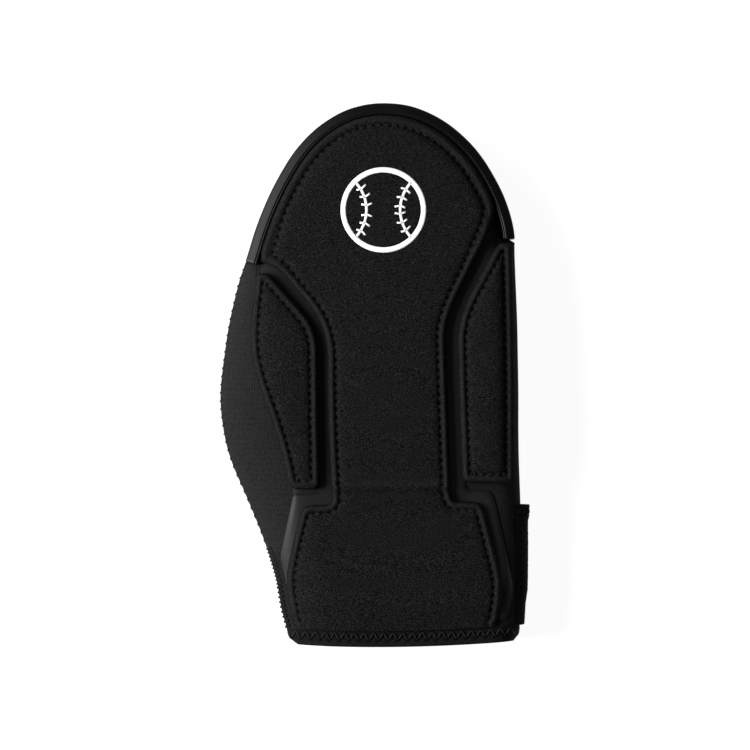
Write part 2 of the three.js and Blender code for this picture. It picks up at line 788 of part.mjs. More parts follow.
// Section of the rim as pairs of depth from the outline and height: a rounded outer face and a thin inner lip.
function bumperSection(crest) {
  const middle = (crest + BUMPER_CLEARANCE) / 2;
  const half = (crest - BUMPER_CLEARANCE) / 2;
  const section = [];
  for (let k = 0; k <= BUMPER_SECTION_STEPS; k += 1) {
    const angle = ((k / BUMPER_SECTION_STEPS) * 2 - 1) * (Math.PI / 2);
    const deep = BUMPER_WIDTH * (1 - Math.abs(Math.cos(angle)) ** BUMPER_FACE_ROUNDNESS.across);
    const high = Math.abs(Math.sin(angle)) ** BUMPER_FACE_ROUNDNESS.up;
    section.push([deep, middle + half * Math.sign(Math.sin(angle)) * high]);
  }
  const lipDepth = BUMPER_WIDTH + BUMPER_LIP;
  section.push([lipDepth, crest - BUMPER_RISE + FIT_GAP]);
  section.push([lipDepth, BUMPER_CLEARANCE + BUMPER_LIP]);
  return section;
}

function fingertipBumper() {
  return geometryOf(solidOf(bumperSweep()).subtract(sleeveBlock(RIM_SEAT, 0)));
}

// The folded hem, a short tube flush with the sleeve.
function hemBand() {
  const builder = new MeshBuilder();
  const stations = HEM_STATIONS.map((share) => HEM_Y + (HEM_LENGTH - FIT_GAP) * share);
  const outer = stations.map((y) => builder.addRing(SLEEVE_OUTSIDE.ring(y, RING_STEPS)));
  const inner = stations.map((y) => builder.addRing(HEM_INSIDE.ring(y, RING_STEPS)));
  const last = stations.length - 1;
  for (let k = 0; k < last; k += 1) {
    builder.joinRings(outer[k], outer[k + 1], true);
    builder.joinRings(inner[k], inner[k + 1]);
  }
  builder.joinRings(inner[0], outer[0], true);
  builder.joinRings(inner[last], outer[last]);
  return builder.geometry();
}

// Section of the strap at a station: down its inner face and back up its outer face. Steps count from the
// sleeve's outer edge: fewer than 0 on the back, more on the way under the palm.
function strapSection(y, bulge) {
  const ring = SLEEVE_OUTSIDE.ring(y, STRAP_RING_STEPS);
  const place = (step) => {
    const [x, , z] = ring[(STRAP_RING_STEPS - step) % STRAP_RING_STEPS];
    return new THREE.Vector2(x, z);
  };
  const { above, under, flat } = STRAP_STEPS;
  const inner = [];
  const outer = [];
  for (let step = -above; step <= under; step += 1) {
    const run = place(step - 1).sub(place(step + 1)).normalize();
    const outwards = new THREE.Vector2(run.y, -run.x);
    const loose = step < 0 ? step / -above : step / flat;
    const stand = FIT_GAP + bulge * Math.max(0, 1 - loose ** 2);
    const near = place(step).addScaledVector(outwards, stand);
    const far = place(step).addScaledVector(outwards, stand + STRAP_THICKNESS);
    inner.push([near.x, y, near.y]);
    outer.unshift([far.x, y, far.y]);
  }
  return [...inner, ...outer];
}

// The strap: from the outer edge of the back, round the outer side and most of the way under the palm.
function wristStrap() {
  const builder = new MeshBuilder();
  const bottom = HEM_Y + STRAP_FROM_HEM;
  const rings = STRAP_STAND.map(({ up, off }) => {
    return builder.addRing(strapSection(bottom + STRAP_WIDTH * up, STRAP_BULGE * off));
  });
  for (let r = 0; r + 1 < rings.length; r += 1) {
    builder.joinRings(rings[r], rings[r + 1], true);
  }
  const closeEnd = (ring, flip) => {
    const last = ring.length - 1;
    for (let k = 0; 2 * k + 1 < last; k += 1) {
      const quad = [ring[k], ring[k + 1], ring[last - 1 - k], ring[last - k]];
      builder.quad(...(flip ? quad.reverse() : quad));
    }
  };
  closeEnd(rings[0], false);
  closeEnd(rings[rings.length - 1], true);
  return builder.geometry();
}

// Bends the wrist end, so that the hem lies higher towards both of its sides.
function raiseHem(geometry) {
  const places = geometry.attributes.position;
  for (let i = 0; i < places.count; i += 1) {
    const y = places.getY(i);
    const share = 1 - THREE.MathUtils.smoothstep(alongOf(y), 0, HEM_RISE_ALONG);
    places.setY(i, y + HEM_RISE * (places.getX(i) / HALF_WIDTH) ** 2 * share);
  }
  return geometry;
}

const BLACK_FABRIC = { color: 0x1d1d1e, roughness: 0.95 };
const FINISHES = {
  hand_sleeve: BLACK_FABRIC,
  thumb_gusset: { color: 0x2c2c2d, roughness: 0.95 },
  hem_band: BLACK_FABRIC,
  fingertip_bumper: { color: 0x232323, roughness: 0.45 },
  back_film: { color: 0x303031, roughness: 0.55 },
  centre_pad: BLACK_FABRIC,
  thumb_side_pad: BLACK_FABRIC,
  outer_side_pad: BLACK_FABRIC,
  wrist_panel: BLACK_FABRIC,
  wrist_strap: { color: 0x1a1a1a, roughness: 0.85 },
  palm_pad: { color: 0x1f1f20, roughness: 0.9 },
};

function build() {
  const shell = solidOf(sleeveShell(HEM_Y + HEM_LENGTH));
  const gusset = shell.intersect(solidOf(gussetBlock(FIT_GAP)));
  const sleeve = shell.subtract(solidOf(gussetBlock(0)));
  const shapes = {
    hand_sleeve: geometryOf(sleeve),
    thumb_gusset: geometryOf(gusset),
    hem_band: hemBand(),
    fingertip_bumper: fingertipBumper(),
    back_film: backFilm(),
    centre_pad: centrePad(),
    thumb_side_pad: plainPad(THUMB_SIDE_PAD, GRIDS.side_pads),
    outer_side_pad: plainPad(OUTER_SIDE_PAD, GRIDS.side_pads),
    wrist_panel: plainPad(WRIST_PANEL, GRIDS.wrist_panel),
    wrist_strap: wristStrap(),
    palm_pad: palmPad(),
  };
  const mitt = new THREE.Group();
  for (const [name, geometry] of Object.entries(shapes)) {
    const finish = { metalness: 0, side: THREE.FrontSide, ...FINISHES[name] };
    const mesh = new THREE.Mesh(raiseHem(geometry), new THREE.MeshStandardMaterial(finish));
    mesh.name = name;
    mitt.add(mesh);
  }
  return mitt;
}

export default build();
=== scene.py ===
"""Looks of a right hand's sliding mitt, lying palm down: padded panels, a knit thumb side and a rubber rim.

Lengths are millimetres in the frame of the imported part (+Y to the fingertips, +Z up) and become metres in
`make_piece`. The outline tables and the rounded sleeve form are those of the part, made finer here.
"""

import math

import bmesh
import bpy
import numpy as np
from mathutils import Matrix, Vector
from mathutils.bvhtree import BVHTree
from mathutils.geometry import delaunay_2d_cdt


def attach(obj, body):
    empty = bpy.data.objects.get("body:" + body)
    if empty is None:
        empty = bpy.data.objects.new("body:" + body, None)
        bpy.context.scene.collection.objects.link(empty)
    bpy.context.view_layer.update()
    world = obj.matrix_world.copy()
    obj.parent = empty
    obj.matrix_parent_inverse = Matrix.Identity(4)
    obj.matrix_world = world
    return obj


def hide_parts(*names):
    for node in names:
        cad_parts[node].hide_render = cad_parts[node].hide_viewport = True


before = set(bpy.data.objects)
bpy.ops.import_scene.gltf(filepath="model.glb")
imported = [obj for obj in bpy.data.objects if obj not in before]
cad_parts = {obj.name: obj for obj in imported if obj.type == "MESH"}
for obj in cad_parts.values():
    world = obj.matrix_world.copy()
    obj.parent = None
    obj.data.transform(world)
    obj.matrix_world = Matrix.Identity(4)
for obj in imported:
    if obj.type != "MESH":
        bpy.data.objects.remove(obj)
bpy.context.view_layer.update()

# Main sizes
MITT_LENGTH = 271.5
MITT_WIDTH = 155.0
BACK_HEIGHT = 36.0
FIT_GAP = 0.3
SEAM_GAP = 0.06

# Sleeve, hem and rim
SLEEVE_WALL = 2.5
HEM_WALL = 3.0
HEM_LENGTH = 7.5
HEM_RISE = 3.7
HEM_RISE_ALONG = 0.2
THUMB_SHOULDER = 42.0
OUTER_SHOULDER = 13.0
PALM_SHOULDER = 12.0
SHOULDER_ROUNDNESS = 2.4
BUMPER_WIDTH = 4.4
BUMPER_LIP = 1.4
BUMPER_RISE = 3.0
BUMPER_CLEARANCE = 1.0
BUMPER_STEP_LENGTH = {"left": 0.288, "right": 1.08}

# Layers on the back and under the palm
FILM_THICKNESS = 1.0
PAD_THICKNESS = 4.5
PAD_CORNER = 4.0
PAD_STIFF_EDGE = 6.0
PALM_PAD_THICKNESS = 3.0
PALM_PAD_MARGIN = 9.0

# Strap round the wrist
STRAP_WIDTH = 63.0
STRAP_THICKNESS = 2.2
STRAP_BULGE = 2.0
STRAP_FROM_HEM = 7.8
STRAP_REACH = {"above": 3.1 / 64, "under": 26 / 64, "flat": 6 / 64}

# Sewing
STITCH_DEPTH = 4.2
STITCH_PITCH = 4.1
THREAD_RADIUS = 0.27
CROSS_SEAM_Y = -57.2
FILM_SEAM = np.array([(-43.5, -60.7), (-28.4, -59.2)])
ZIGZAG_PITCH = 4.85
ZIGZAG_REACH = 1.95
ZIGZAG_X = (-42.0, 70.0)
OVERLOCK_PITCH = 2.0
OVERLOCK_END_Y = -86.0
OVERLOCK_THICK_LENGTH = 22.0

# Mark printed on the head
MARK_CENTRE = (4.0, 82.0)
MARK_RADIUS = 20.0
MARK_STROKE = 2.6



def table(columns, *rows):
    """Rows of numbers, with a name for each column."""
    return [dict(zip(columns, row)) for row in rows]


def corners(*rows):
    """Corners of a panel: shares of half the width and of the length, and how soft each corner is."""
    return table(("across", "along", "soft"), *rows)


# The outline seen from above. along: share of the length from the hem (0) to the fingertips (1).
# left and right: shares of half the width.
OUTLINE = table(
    ("along", "left", "right"),
    (1.0, 0.049, 0.049),
    (0.9967, -0.07, 0.19),
    (0.9875, -0.183, 0.3),
    (0.969, -0.305, 0.43),
    (0.951, -0.39, 0.518),
    (0.914, -0.512, 0.649),
    (0.877, -0.597, 0.739),
    (0.822, -0.696, 0.836),
    (0.766, -0.773, 0.891),
    (0.711, -0.832, 0.9),
    (0.674, -0.877, 0.905),
    (0.6, -0.939, 0.915),
    (0.545, -0.97, 0.919),
    (0.462, -1.0, 0.923),
    (0.398, -0.98, 0.923),
    (0.343, -0.932, 0.926),
    (0.269, -0.823, 0.935),
    (0.195, -0.719, 0.94),
    (0.122, -0.641, 0.94),
    (0.066, -0.607, 0.937),
    (0.03, -0.574, 0.932),
    (0.012, -0.556, 0.925),
    (0.0, -0.5, 0.89),
)

# Height of the sleeve's back above the rest, as a share of BACK_HEIGHT.
BACK_PROFILE = table(
    ("along", "high"),
    (1.0, 0.58),
    (0.93, 0.65),
    (0.8, 0.78),
    (0.62, 0.93),
    (0.45, 1.0),
    (0.25, 0.95),
    (0.0, 0.9),
)

# How far the strap stands off at its loosest, as a share of STRAP_BULGE, from its lower to its upper edge.
STRAP_STAND = {"up": [0, 0.18, 0.3, 0.86, 0.94, 1], "off": [0, 0.1, 0.55, 0.65, 0.95, 1]}

# Where the rim ends, as shares of the length.
BUMPER_END = {"left": 0.708, "right": 0.75}
PALM_PAD_ALONG = {"heel": 0.36, "waist": 0.55, "fingers": 0.72}

# The seam between the knit and the sleeve on the thumb side, from the rim to the hem.
GUSSET_SEAM = corners(
    (-0.76, 0.71, 1),
    (-0.77, 0.637, 1),
    (-0.77, 0.555, 1),
    (-0.64, 0.43, 1),
    (-0.525, 0.3, 1),
    (-0.525, 0.27, 1),
    (-0.6, 0.165, 1),
    (-0.565, 0.11, 1),
    (-0.5, 0.03, 1),
    (-0.48, -0.02, 1),
)

# Upper part of the rim's section: depth from the outline and drop below the crest, up the bevel, over the
# crest, down the step and over the ridge beside the pad.
RIM_FACE = [
    (0.0, 3.5),
    (0.05, 3.05),
    (0.2, 2.65),
    (0.6, 2.35),
    (1.4, 1.9),
    (2.2, 1.46),
    (3.0, 1.02),
    (3.6, 0.68),
    (4.05, 0.35),
    (4.3, 0.25),
    (4.5, 0.42),
    (4.7, 0.7),
    (4.9, 0.7),
    (5.1, 0.5),
    (5.4, 0.5),
    (5.65, 0.7),
    (5.8, 1.2),
]

# Panel outlines: down the left side, then up the right side.
CENTRE_PAD = {
    "left": corners(
        (-0.742, 0.708, 0.5),
        (-0.622, 0.695, 1.5),
        (-0.306, 0.588, 4),
        (-0.306, 0.44, 4),
        (-0.282, 0.2908, 0.4),
    ),
    "right": corners(
        (0.486, 0.2908, 0.4),
        (0.455, 0.54, 5),
        (0.455, 0.602, 4),
        (0.742, 0.766, 3),
        (0.772, 0.806, 1),
    ),
}
WRIST_PANEL = {
    "left": corners(
        (-0.282, 0.2902, 0.4),
        (-0.275, 0.262, 0.8),
        (-0.47, 0.26, 1.2),
        (-0.54, 0.18, 4),
        (-0.583, 0.118, 4),
        (-0.525, 0.0305, 1),
    ),
    "right": corners(
        (0.783, 0.0305, 1),
        (0.825, 0.107, 4),
        (0.785, 0.166, 4),
        (0.69, 0.266, 1.2),
        (0.497, 0.268, 0.8),
        (0.486, 0.2902, 0.4),
    ),
}
THUMB_SIDE_PAD = {
    "left": corners(
        (-0.765, 0.686, 0.6),
        (-0.805, 0.591, 6),
        (-0.797, 0.518, 5),
        (-0.62, 0.385, 5),
        (-0.548, 0.29, 1),
    ),
    "right": corners(
        (-0.352, 0.29, 1),
        (-0.362, 0.45, 4),
        (-0.366, 0.585, 3),
        (-0.684, 0.686, 0.8),
    ),
}
OUTER_SIDE_PAD = {
    "left": corners(
        (0.79, 0.742, 0.8),
        (0.528, 0.605, 4),
        (0.53, 0.52, 4),
        (0.558, 0.303, 1),
    ),
    "right": corners(
        (0.894, 0.3, 1),
        (0.892, 0.52, 4),
        (0.878, 0.742, 0.6),
    ),
}
BACK_FILM = {
    "left": corners(
        (-0.735, 0.705, 0.6),
        (-0.755, 0.637, 4),
        (-0.755, 0.555, 4),
        (-0.645, 0.43, 4),
        (-0.535, 0.3, 1),
        (-0.53, 0.275, 0.6),
        (-0.613, 0.164, 0.6),
        (-0.56, 0.098, 0.6),
    ),
    "right": corners(
        (0.85, 0.04, 1),
        (0.888, 0.105, 1.2),
        (0.84, 0.175, 1.5),
        (0.768, 0.268, 1),
        (0.74, 0.288, 1),
        (0.585, 0.288, 0.6),
        (0.572, 0.305, 0.3),
        (0.85, 0.312, 0.6),
        (0.848, 0.6, 4),
        (0.82, 0.735, 0.6),
    ),
}

HALF_WIDTH = MITT_WIDTH / 2
HEM_Y = -MITT_LENGTH / 2
TIP_Y = MITT_LENGTH / 2
PALM_LEVEL = PALM_PAD_THICKNESS + FIT_GAP
PAD_MARGIN = BUMPER_WIDTH + BUMPER_LIP + FIT_GAP
FILM_LEVEL = FIT_GAP
PAD_LEVEL = FILM_LEVEL + FILM_THICKNESS + FIT_GAP
TINY = 1e-6

# How many points are compared with a line at a time.
CHUNK = 4000


def along_of(y):
    return (y - HEM_Y) / MITT_LENGTH


def y_of(along):
    return HEM_Y + along * MITT_LENGTH


def place_of(row):
    return np.array([row["across"] * HALF_WIDTH, y_of(row["along"])])


def smoothstep(value, low, high):
    t = np.clip((value - low) / (high - low), 0, 1)
    return t * t * (3 - 2 * t)


def near(away, reach):
    """1 at a place, falling to 0 away from it in a bell curve."""
    return np.exp(-((away / reach) ** 2))


def ripple(x, y, size):
    """Uneven lumps from -1 to 1, about `size` millimetres apart."""
    turn = 2 * math.pi / size
    first = np.sin(x * turn * 0.9 + 2.1 * np.sin(y * turn * 0.31))
    second = np.sin(y * turn * 0.8 + 1.7 * np.sin(x * turn * 0.37) + 1)
    return 0.5 * (first * second + np.sin((x + y) * turn * 0.61 + 2 * np.sin((x - y) * turn * 0.23)))


# The form of the sleeve


def table_reader(rows, column):
    """A smooth function of `along` through a table. Places are square roots of the distance from the
    fingertips, so that the round end keeps its shape."""
    place = np.sqrt(1 - np.array([row["along"] for row in rows]))
    value = np.array([row[column] for row in rows])
    before = np.maximum(np.arange(len(rows)) - 1, 0)
    after = np.minimum(np.arange(len(rows)) + 1, len(rows) - 1)
    slope = (value[after] - value[before]) / (place[after] - place[before])

    def read(along):
        at = np.sqrt(1 - np.clip(along, 0, 1))
        i = np.clip(np.searchsorted(place, at, side="right") - 1, 0, len(rows) - 2)
        span = place[i + 1] - place[i]
        t = (at - place[i]) / span
        rise = value[i + 1] - value[i]
        bend_start = slope[i] * span - rise
        bend_end = slope[i + 1] * span - rise
        return value[i] + rise * t + t * (1 - t) * (bend_start * (1 - t) - bend_end * t)

    return read


READ_EDGE = {-1: table_reader(OUTLINE, "left"), 1: table_reader(OUTLINE, "right")}
READ_HEIGHT = table_reader(BACK_PROFILE, "high")


def mitt_edge(side, y):
    """Edge of the whole mitt: side is -1 for the thumb side and 1 for the outer side."""
    return HALF_WIDTH * READ_EDGE[side](along_of(y))


def inset_edge(edge, side, y, depth):
    """An edge moved inwards by a depth measured square to it."""
    if depth == 0:
        return edge(side, y)
    angle = np.linspace(-math.pi / 2, math.pi / 2, 25)
    reach = side * edge(side, np.asarray(y)[..., None] + depth * np.sin(angle)) - depth * np.cos(angle)
    return side * reach.min(axis=-1)


def sleeve_edge(side, y):
    """Edge of the sleeve, which steps in under the rim."""
    seat_depth = BUMPER_WIDTH + FIT_GAP
    seated = inset_edge(mitt_edge, side, np.minimum(y, TIP_Y - seat_depth), seat_depth)
    name = "left" if side < 0 else "right"
    rim_end = y_of(BUMPER_END[name])
    share = smoothstep(y, rim_end - BUMPER_STEP_LENGTH[name], rim_end)
    return mitt_edge(side, y) * (1 - share) + seated * share


def distance_to_line(x, y, line):
    """Distance from each place to a line of points."""
    shape = np.shape(x)
    points = np.stack([np.ravel(x), np.ravel(y)], axis=1)
    start, run = line[:-1], line[1:] - line[:-1]
    length = (run**2).sum(axis=1) + TINY**2
    best = np.empty(len(points))
    for low in range(0, len(points), CHUNK):
        away = points[low : low + CHUNK, None, :] - start
        t = np.clip((away * run).sum(axis=2) / length, 0, 1)
        best[low : low + CHUNK] = np.sqrt(((away - t[..., None] * run) ** 2).sum(axis=2)).min(axis=1)
    return best.reshape(shape)


def shoulder(distance, reach):
    """Rise of a rounded shoulder: 0 at the edge, 1 from the reach inwards."""
    left = 1 - np.minimum(distance / reach, 1)
    return (1 - left**SHOULDER_ROUNDNESS) ** (1 / SHOULDER_ROUNDNESS)


class SleeveForm:
    """The flattened form with round shoulders. inset moves its wall in from the sleeve's outside."""

    def __init__(self, inset):
        self.inset = inset
        self.tip = TIP_Y - BUMPER_WIDTH - FIT_GAP - inset
        y = self.tip - (self.tip - HEM_Y + HEM_LENGTH) * np.linspace(0, 1, 91) ** 2
        self.lines = {side: np.stack([self.edge(side, y), y], axis=1) for side in (-1, 1)}

    def edge(self, side, y):
        return inset_edge(sleeve_edge, side, np.minimum(y, self.tip), self.inset)

    def heights(self, x, y, least=0.0):
        """Heights of the back and the palm. Places nearer to the edge than `least` count as that far in."""
        to_thumb = distance_to_line(x, y, self.lines[-1]) + TINY
        to_outer = distance_to_line(x, y, self.lines[1]) + TINY
        deep = np.maximum((to_thumb**-4.0 + to_outer**-4.0) ** -0.25, least)
        thumb_share = to_outer / (to_thumb + to_outer)
        rim_start = y_of(BUMPER_END["left"])
        open_side = 1 - smoothstep(y, rim_start - THUMB_SHOULDER, rim_start)
        back_reach = OUTER_SHOULDER + (THUMB_SHOULDER - OUTER_SHOULDER) * open_side * thumb_share**2
        top = BACK_HEIGHT * READ_HEIGHT(along_of(y)) - self.inset
        base = PALM_LEVEL + self.inset
        middle = (top + base) / 2
        back = middle + (top - middle) * shoulder(deep, back_reach)
        palm = middle - (middle - base) * shoulder(deep, PALM_SHOULDER)
        return back, palm

    def strip(self, stations, angles):
        """Points of the wall: a row for each station, at angles round it that start at the outer side."""
        y = stations[:, None] + 0 * angles
        left, right = self.edge(-1, stations)[:, None], self.edge(1, stations)[:, None]
        x = (left + right) / 2 + (right - left) / 2 * np.cos(angles)
        back, palm = self.heights(x, y)
        return np.stack([x, y, np.where(np.sin(angles) >= 0, back, palm)], axis=2)

    def angle_at(self, x, stations):
        """The angle at which the wall reaches a place across, on the back."""
        left, right = self.edge(-1, stations), self.edge(1, stations)
        return np.arccos(np.clip((x - (left + right) / 2) / ((right - left) / 2), -1, 1))


SLEEVE_OUTSIDE = SleeveForm(0)
SLEEVE_INSIDE = SleeveForm(SLEEVE_WALL)
HEM_INSIDE = SleeveForm(HEM_WALL)


def back_height(x, y):
    return SLEEVE_OUTSIDE.heights(x, y)[0]


def pad_seat_height(x, y):
    return SLEEVE_OUTSIDE.heights(x, y, PAD_STIFF_EDGE)[0]


# Making meshes


def new_object(name, data):
    made = bpy.data.objects.new(name, data)
    bpy.context.scene.collection.objects.link(made)
    return made


def grid_numbers(grid):
    """The number of each point of a grid, row after row."""
    rows, columns = grid.shape[:2]
    return np.arange(rows * columns).reshape(rows, columns)


def grid_faces(index):
    """Quads between the rows and columns of a grid of point numbers."""
    quads = [index[:-1, :-1], index[1:, :-1], index[1:, 1:], index[:-1, 1:]]
    return np.stack([part.ravel() for part in quads], axis=1)


def raise_hem(points):
    """Bends the wrist end, so that the hem lies higher towards both of its sides."""
    bent = np.array(points, float)
    share = 1 - smoothstep(along_of(bent[:, 1]), 0, HEM_RISE_ALONG)
    bent[:, 1] += HEM_RISE * (bent[:, 0] / HALF_WIDTH) ** 2 * share
    return bent


def make_piece(name, points, faces, material):
    """An object whose mesh holds the points in metres. Points that lie together become one, and the faces
    are turned outwards."""
    mesh = bpy.data.meshes.new(name)
    faces = [tuple(face) for face in (faces.tolist() if isinstance(faces, np.ndarray) else faces)]
    mesh.from_pydata((raise_hem(points) * 0.001).tolist(), [], faces)
    piece = new_object(name, mesh)
    mesh.materials.append(material)
    shape = bmesh.new()
    shape.from_mesh(mesh)
    bmesh.ops.remove_doubles(shape, verts=shape.verts, dist=1e-6)
    bmesh.ops.dissolve_degenerate(shape, edges=shape.edges, dist=1e-7)
    bmesh.ops.recalc_face_normals(shape, faces=shape.faces)
    shape.to_mesh(mesh)
    shape.free()
    mesh.polygons.foreach_set("use_smooth", [True] * len(mesh.polygons))
    return piece


def shell_piece(name, outer, inner, material):
    """A closed wall between two grids of points of the same size, joined round their four sides."""
    over = grid_numbers(outer)
    under = over + over.size
    faces = [grid_faces(over), grid_faces(under)[:, ::-1]]
    for side in (np.s_[0], np.s_[-1], np.s_[:, 0], np.s_[:, -1]):
        faces.append(grid_faces(np.stack([over[side], under[side]])))
    points = np.concatenate([outer.reshape(-1, 3), inner.reshape(-1, 3)])
    return make_piece(name, points, np.concatenate(faces), material)


# Panel outlines


def line_length(line):
    return np.linalg.norm(np.diff(line, axis=0), axis=1).sum()


def left_of(run):
    """Directions square to each step of a flat run, on its left."""
    run = run / np.linalg.norm(run, axis=1)[:, None]
    return np.stack([-run[:, 1], run[:, 0]], axis=1)


def arc_resample(line, count):
    """Points evenly spaced along a line of points."""
    run = np.concatenate([[0], np.cumsum(np.linalg.norm(np.diff(line, axis=0), axis=1))])
    at = np.linspace(0, run[-1], count + 1)
    return np.stack([np.interp(at, run, line[:, k]) for k in (0, 1)], axis=1)


def part_way(start, end, distance):
    """The point on the way from one place to another, no farther than half way."""
    return start + (end - start) * min(distance / max(np.linalg.norm(end - start), TINY), 0.5)


def bend(first, control, last, count=10):
    t = np.linspace(0, 1, count)[:, None]
    return first * (1 - t) ** 2 + control * 2 * t * (1 - t) + last * t**2


def panel_side(rows, before, after, count):
    """One side of a panel: straight runs with rounded corners, from one corner's middle to the next."""
    places = [place_of(row) for row in [before, *rows, after]]
    line = []
    for i, row in enumerate(rows):
        previous, at, following = places[i : i + 3]
        entry = part_way(at, previous, row["soft"] * PAD_CORNER)
        exit_ = part_way(at, following, row["soft"] * PAD_CORNER)
        middle = (entry + exit_ + 2 * at) / 4
        if i == 0:
            line.append(bend(middle, (at + exit_) / 2, exit_))
        elif i == len(rows) - 1:
            line.append(bend(entry, (at + entry) / 2, middle))
        else:
            line.append(bend(entry, at, exit_))
    return arc_resample(np.concatenate(line), count)


def tip_arc(right_end, left_end, depth, count):
    """The arc that follows the fingertip end at a depth, from the outer side to the thumb side."""
    top = TIP_Y - depth
    share = np.linspace(0, 1, 60) ** 2
    right_y = top - (top - right_end[1] - depth / 2) * share[-2::-1]
    left_y = top - (top - left_end[1] - depth / 2) * share[1:-1]
    right = np.stack([inset_edge(mitt_edge, 1, right_y, depth), right_y], axis=1)
    left = np.stack([inset_edge(mitt_edge, -1, left_y, depth), left_y], axis=1)
    return arc_resample(np.concatenate([[right_end], right, left, [left_end]]), count)


def panel_loop(outline, rows, columns, tip_depth=None):
    """The closed loop of a panel: down the left, along the bottom, up the right, back along the top."""
    left, right = outline["left"], outline["right"]
    follows_tip = tip_depth is not None
    left_line = panel_side(left, left[0] if follows_tip else right[-1], right[0], rows)
    right_line = panel_side(right, left[-1], right[-1] if follows_tip else left[0], rows)
    bottom_line = panel_side([left[-1], right[0]], left[-2], right[1], columns)
    if follows_tip:
        top_line = tip_arc(right_line[-1], left_line[0], tip_depth, columns)
    else:
        top_line = panel_side([right[-1], left[0]], right[-2], left[1], columns)
    return np.concatenate([side[:-1] for side in (left_line, bottom_line, right_line, top_line)])


def loop_normals(loop):
    return left_of(np.roll(loop, -1, axis=0) - np.roll(loop, 1, axis=0))


def closed_line(loop):
    return np.concatenate([loop, loop[:1]])


def deep_enough(deep, depth):
    """Which depths reach the one asked for, within a small tolerance."""
    return deep >= depth * 0.985 - 1e-3


def rings_inside(loop, depths):
    """Copies of a loop moved inwards, without the points that come nearer to the loop than that."""
    rings = []
    for depth in depths:
        moved = loop + loop_normals(loop) * depth
        deep = distance_to_line(moved[:, 0], moved[:, 1], closed_line(loop))
        rings.append(moved[deep_enough(deep, depth)])
    return rings


def spread(points, spacing):
    """The points without those that share a small square with an earlier one."""
    _, first = np.unique(np.round(points / spacing).astype(int), axis=0, return_index=True)
    return points[np.sort(first)]


def field_points(loop, spacing, depth):
    """A staggered grid of points inside a loop, no nearer to it than the depth."""
    low, high = loop.min(axis=0), loop.max(axis=0)
    ys = np.arange(low[1], high[1], spacing * 0.87)
    xs = np.arange(low[0], high[0], spacing)
    grid = np.array([(x + (row % 2) * spacing / 2, y) for row, y in enumerate(ys) for x in xs])
    deep = distance_to_line(grid[:, 0], grid[:, 1], closed_line(loop))
    return grid[inside_loop(grid, loop) & (deep > depth)]


def inside_loop(points, loop):
    x, y = points[:, :1], points[:, 1:]
    ax, ay = loop[:, 0], loop[:, 1]
    bx, by = np.roll(ax, -1), np.roll(ay, -1)
    crosses = (ay > y) != (by > y)
    reach = ax + (y - ay) * (bx - ax) / np.where(by == ay, 1, by - ay)
    return (crosses & (x < reach)).sum(axis=1) % 2 == 1


def triangulate(loop, inner):
    """Triangles between a loop and the points inside it. The loop's points come first in the result."""
    places = [Vector(place) for place in np.concatenate([loop, inner])]
    edges = [(i, (i + 1) % len(loop)) for i in range(len(loop))]
    found = delaunay_2d_cdt(places, edges, [], 1, 1e-6)
    flat = np.array([tuple(place) for place in found[0]])
    return flat, np.array([tuple(face) for face in found[2]])


def panel_piece(name, loop, inner, upper, lower, material):
    """A closed panel between two heights. Its upper face has the inner points, its lower one is coarse."""
    over_flat, over_faces = triangulate(loop, inner)
    under_flat, under_faces = triangulate(loop, field_points(loop, 4.0, 3.0))
    over = np.column_stack([over_flat, upper(over_flat[:, 0], over_flat[:, 1])])
    under = np.column_stack([under_flat, lower(under_flat[:, 0], under_flat[:, 1])])
    count = len(loop)
    ring = closed_line(np.arange(count))
    rim = grid_faces(np.stack([ring, ring + len(over)]))
    faces = over_faces.tolist() + (under_faces[:, ::-1] + len(over)).tolist() + rim.tolist()
    return make_piece(name, np.concatenate([over, under]), faces, material)


# Shader writing


class Socket:
    """A node socket that can be used in ordinary arithmetic."""

    def __init__(self, shader, socket):
        self.shader = shader
        self.socket = socket

    def math(self, operation, *values):
        inputs = dict(enumerate([self, *values]))
        return self.shader.node("ShaderNodeMath", {"operation": operation}, inputs)

    def __add__(self, other):
        return self.math("ADD", other)

    def __mul__(self, other):
        return self.math("MULTIPLY", other)

    def __sub__(self, other):
        return self.math("SUBTRACT", other)

    def __truediv__(self, other):
        return self.math("DIVIDE", other)

    def __pow__(self, other):
        return self.math("POWER", other)

    def clamp(self):
        return self.shader.node("ShaderNodeClamp", {}, {"Value": self})


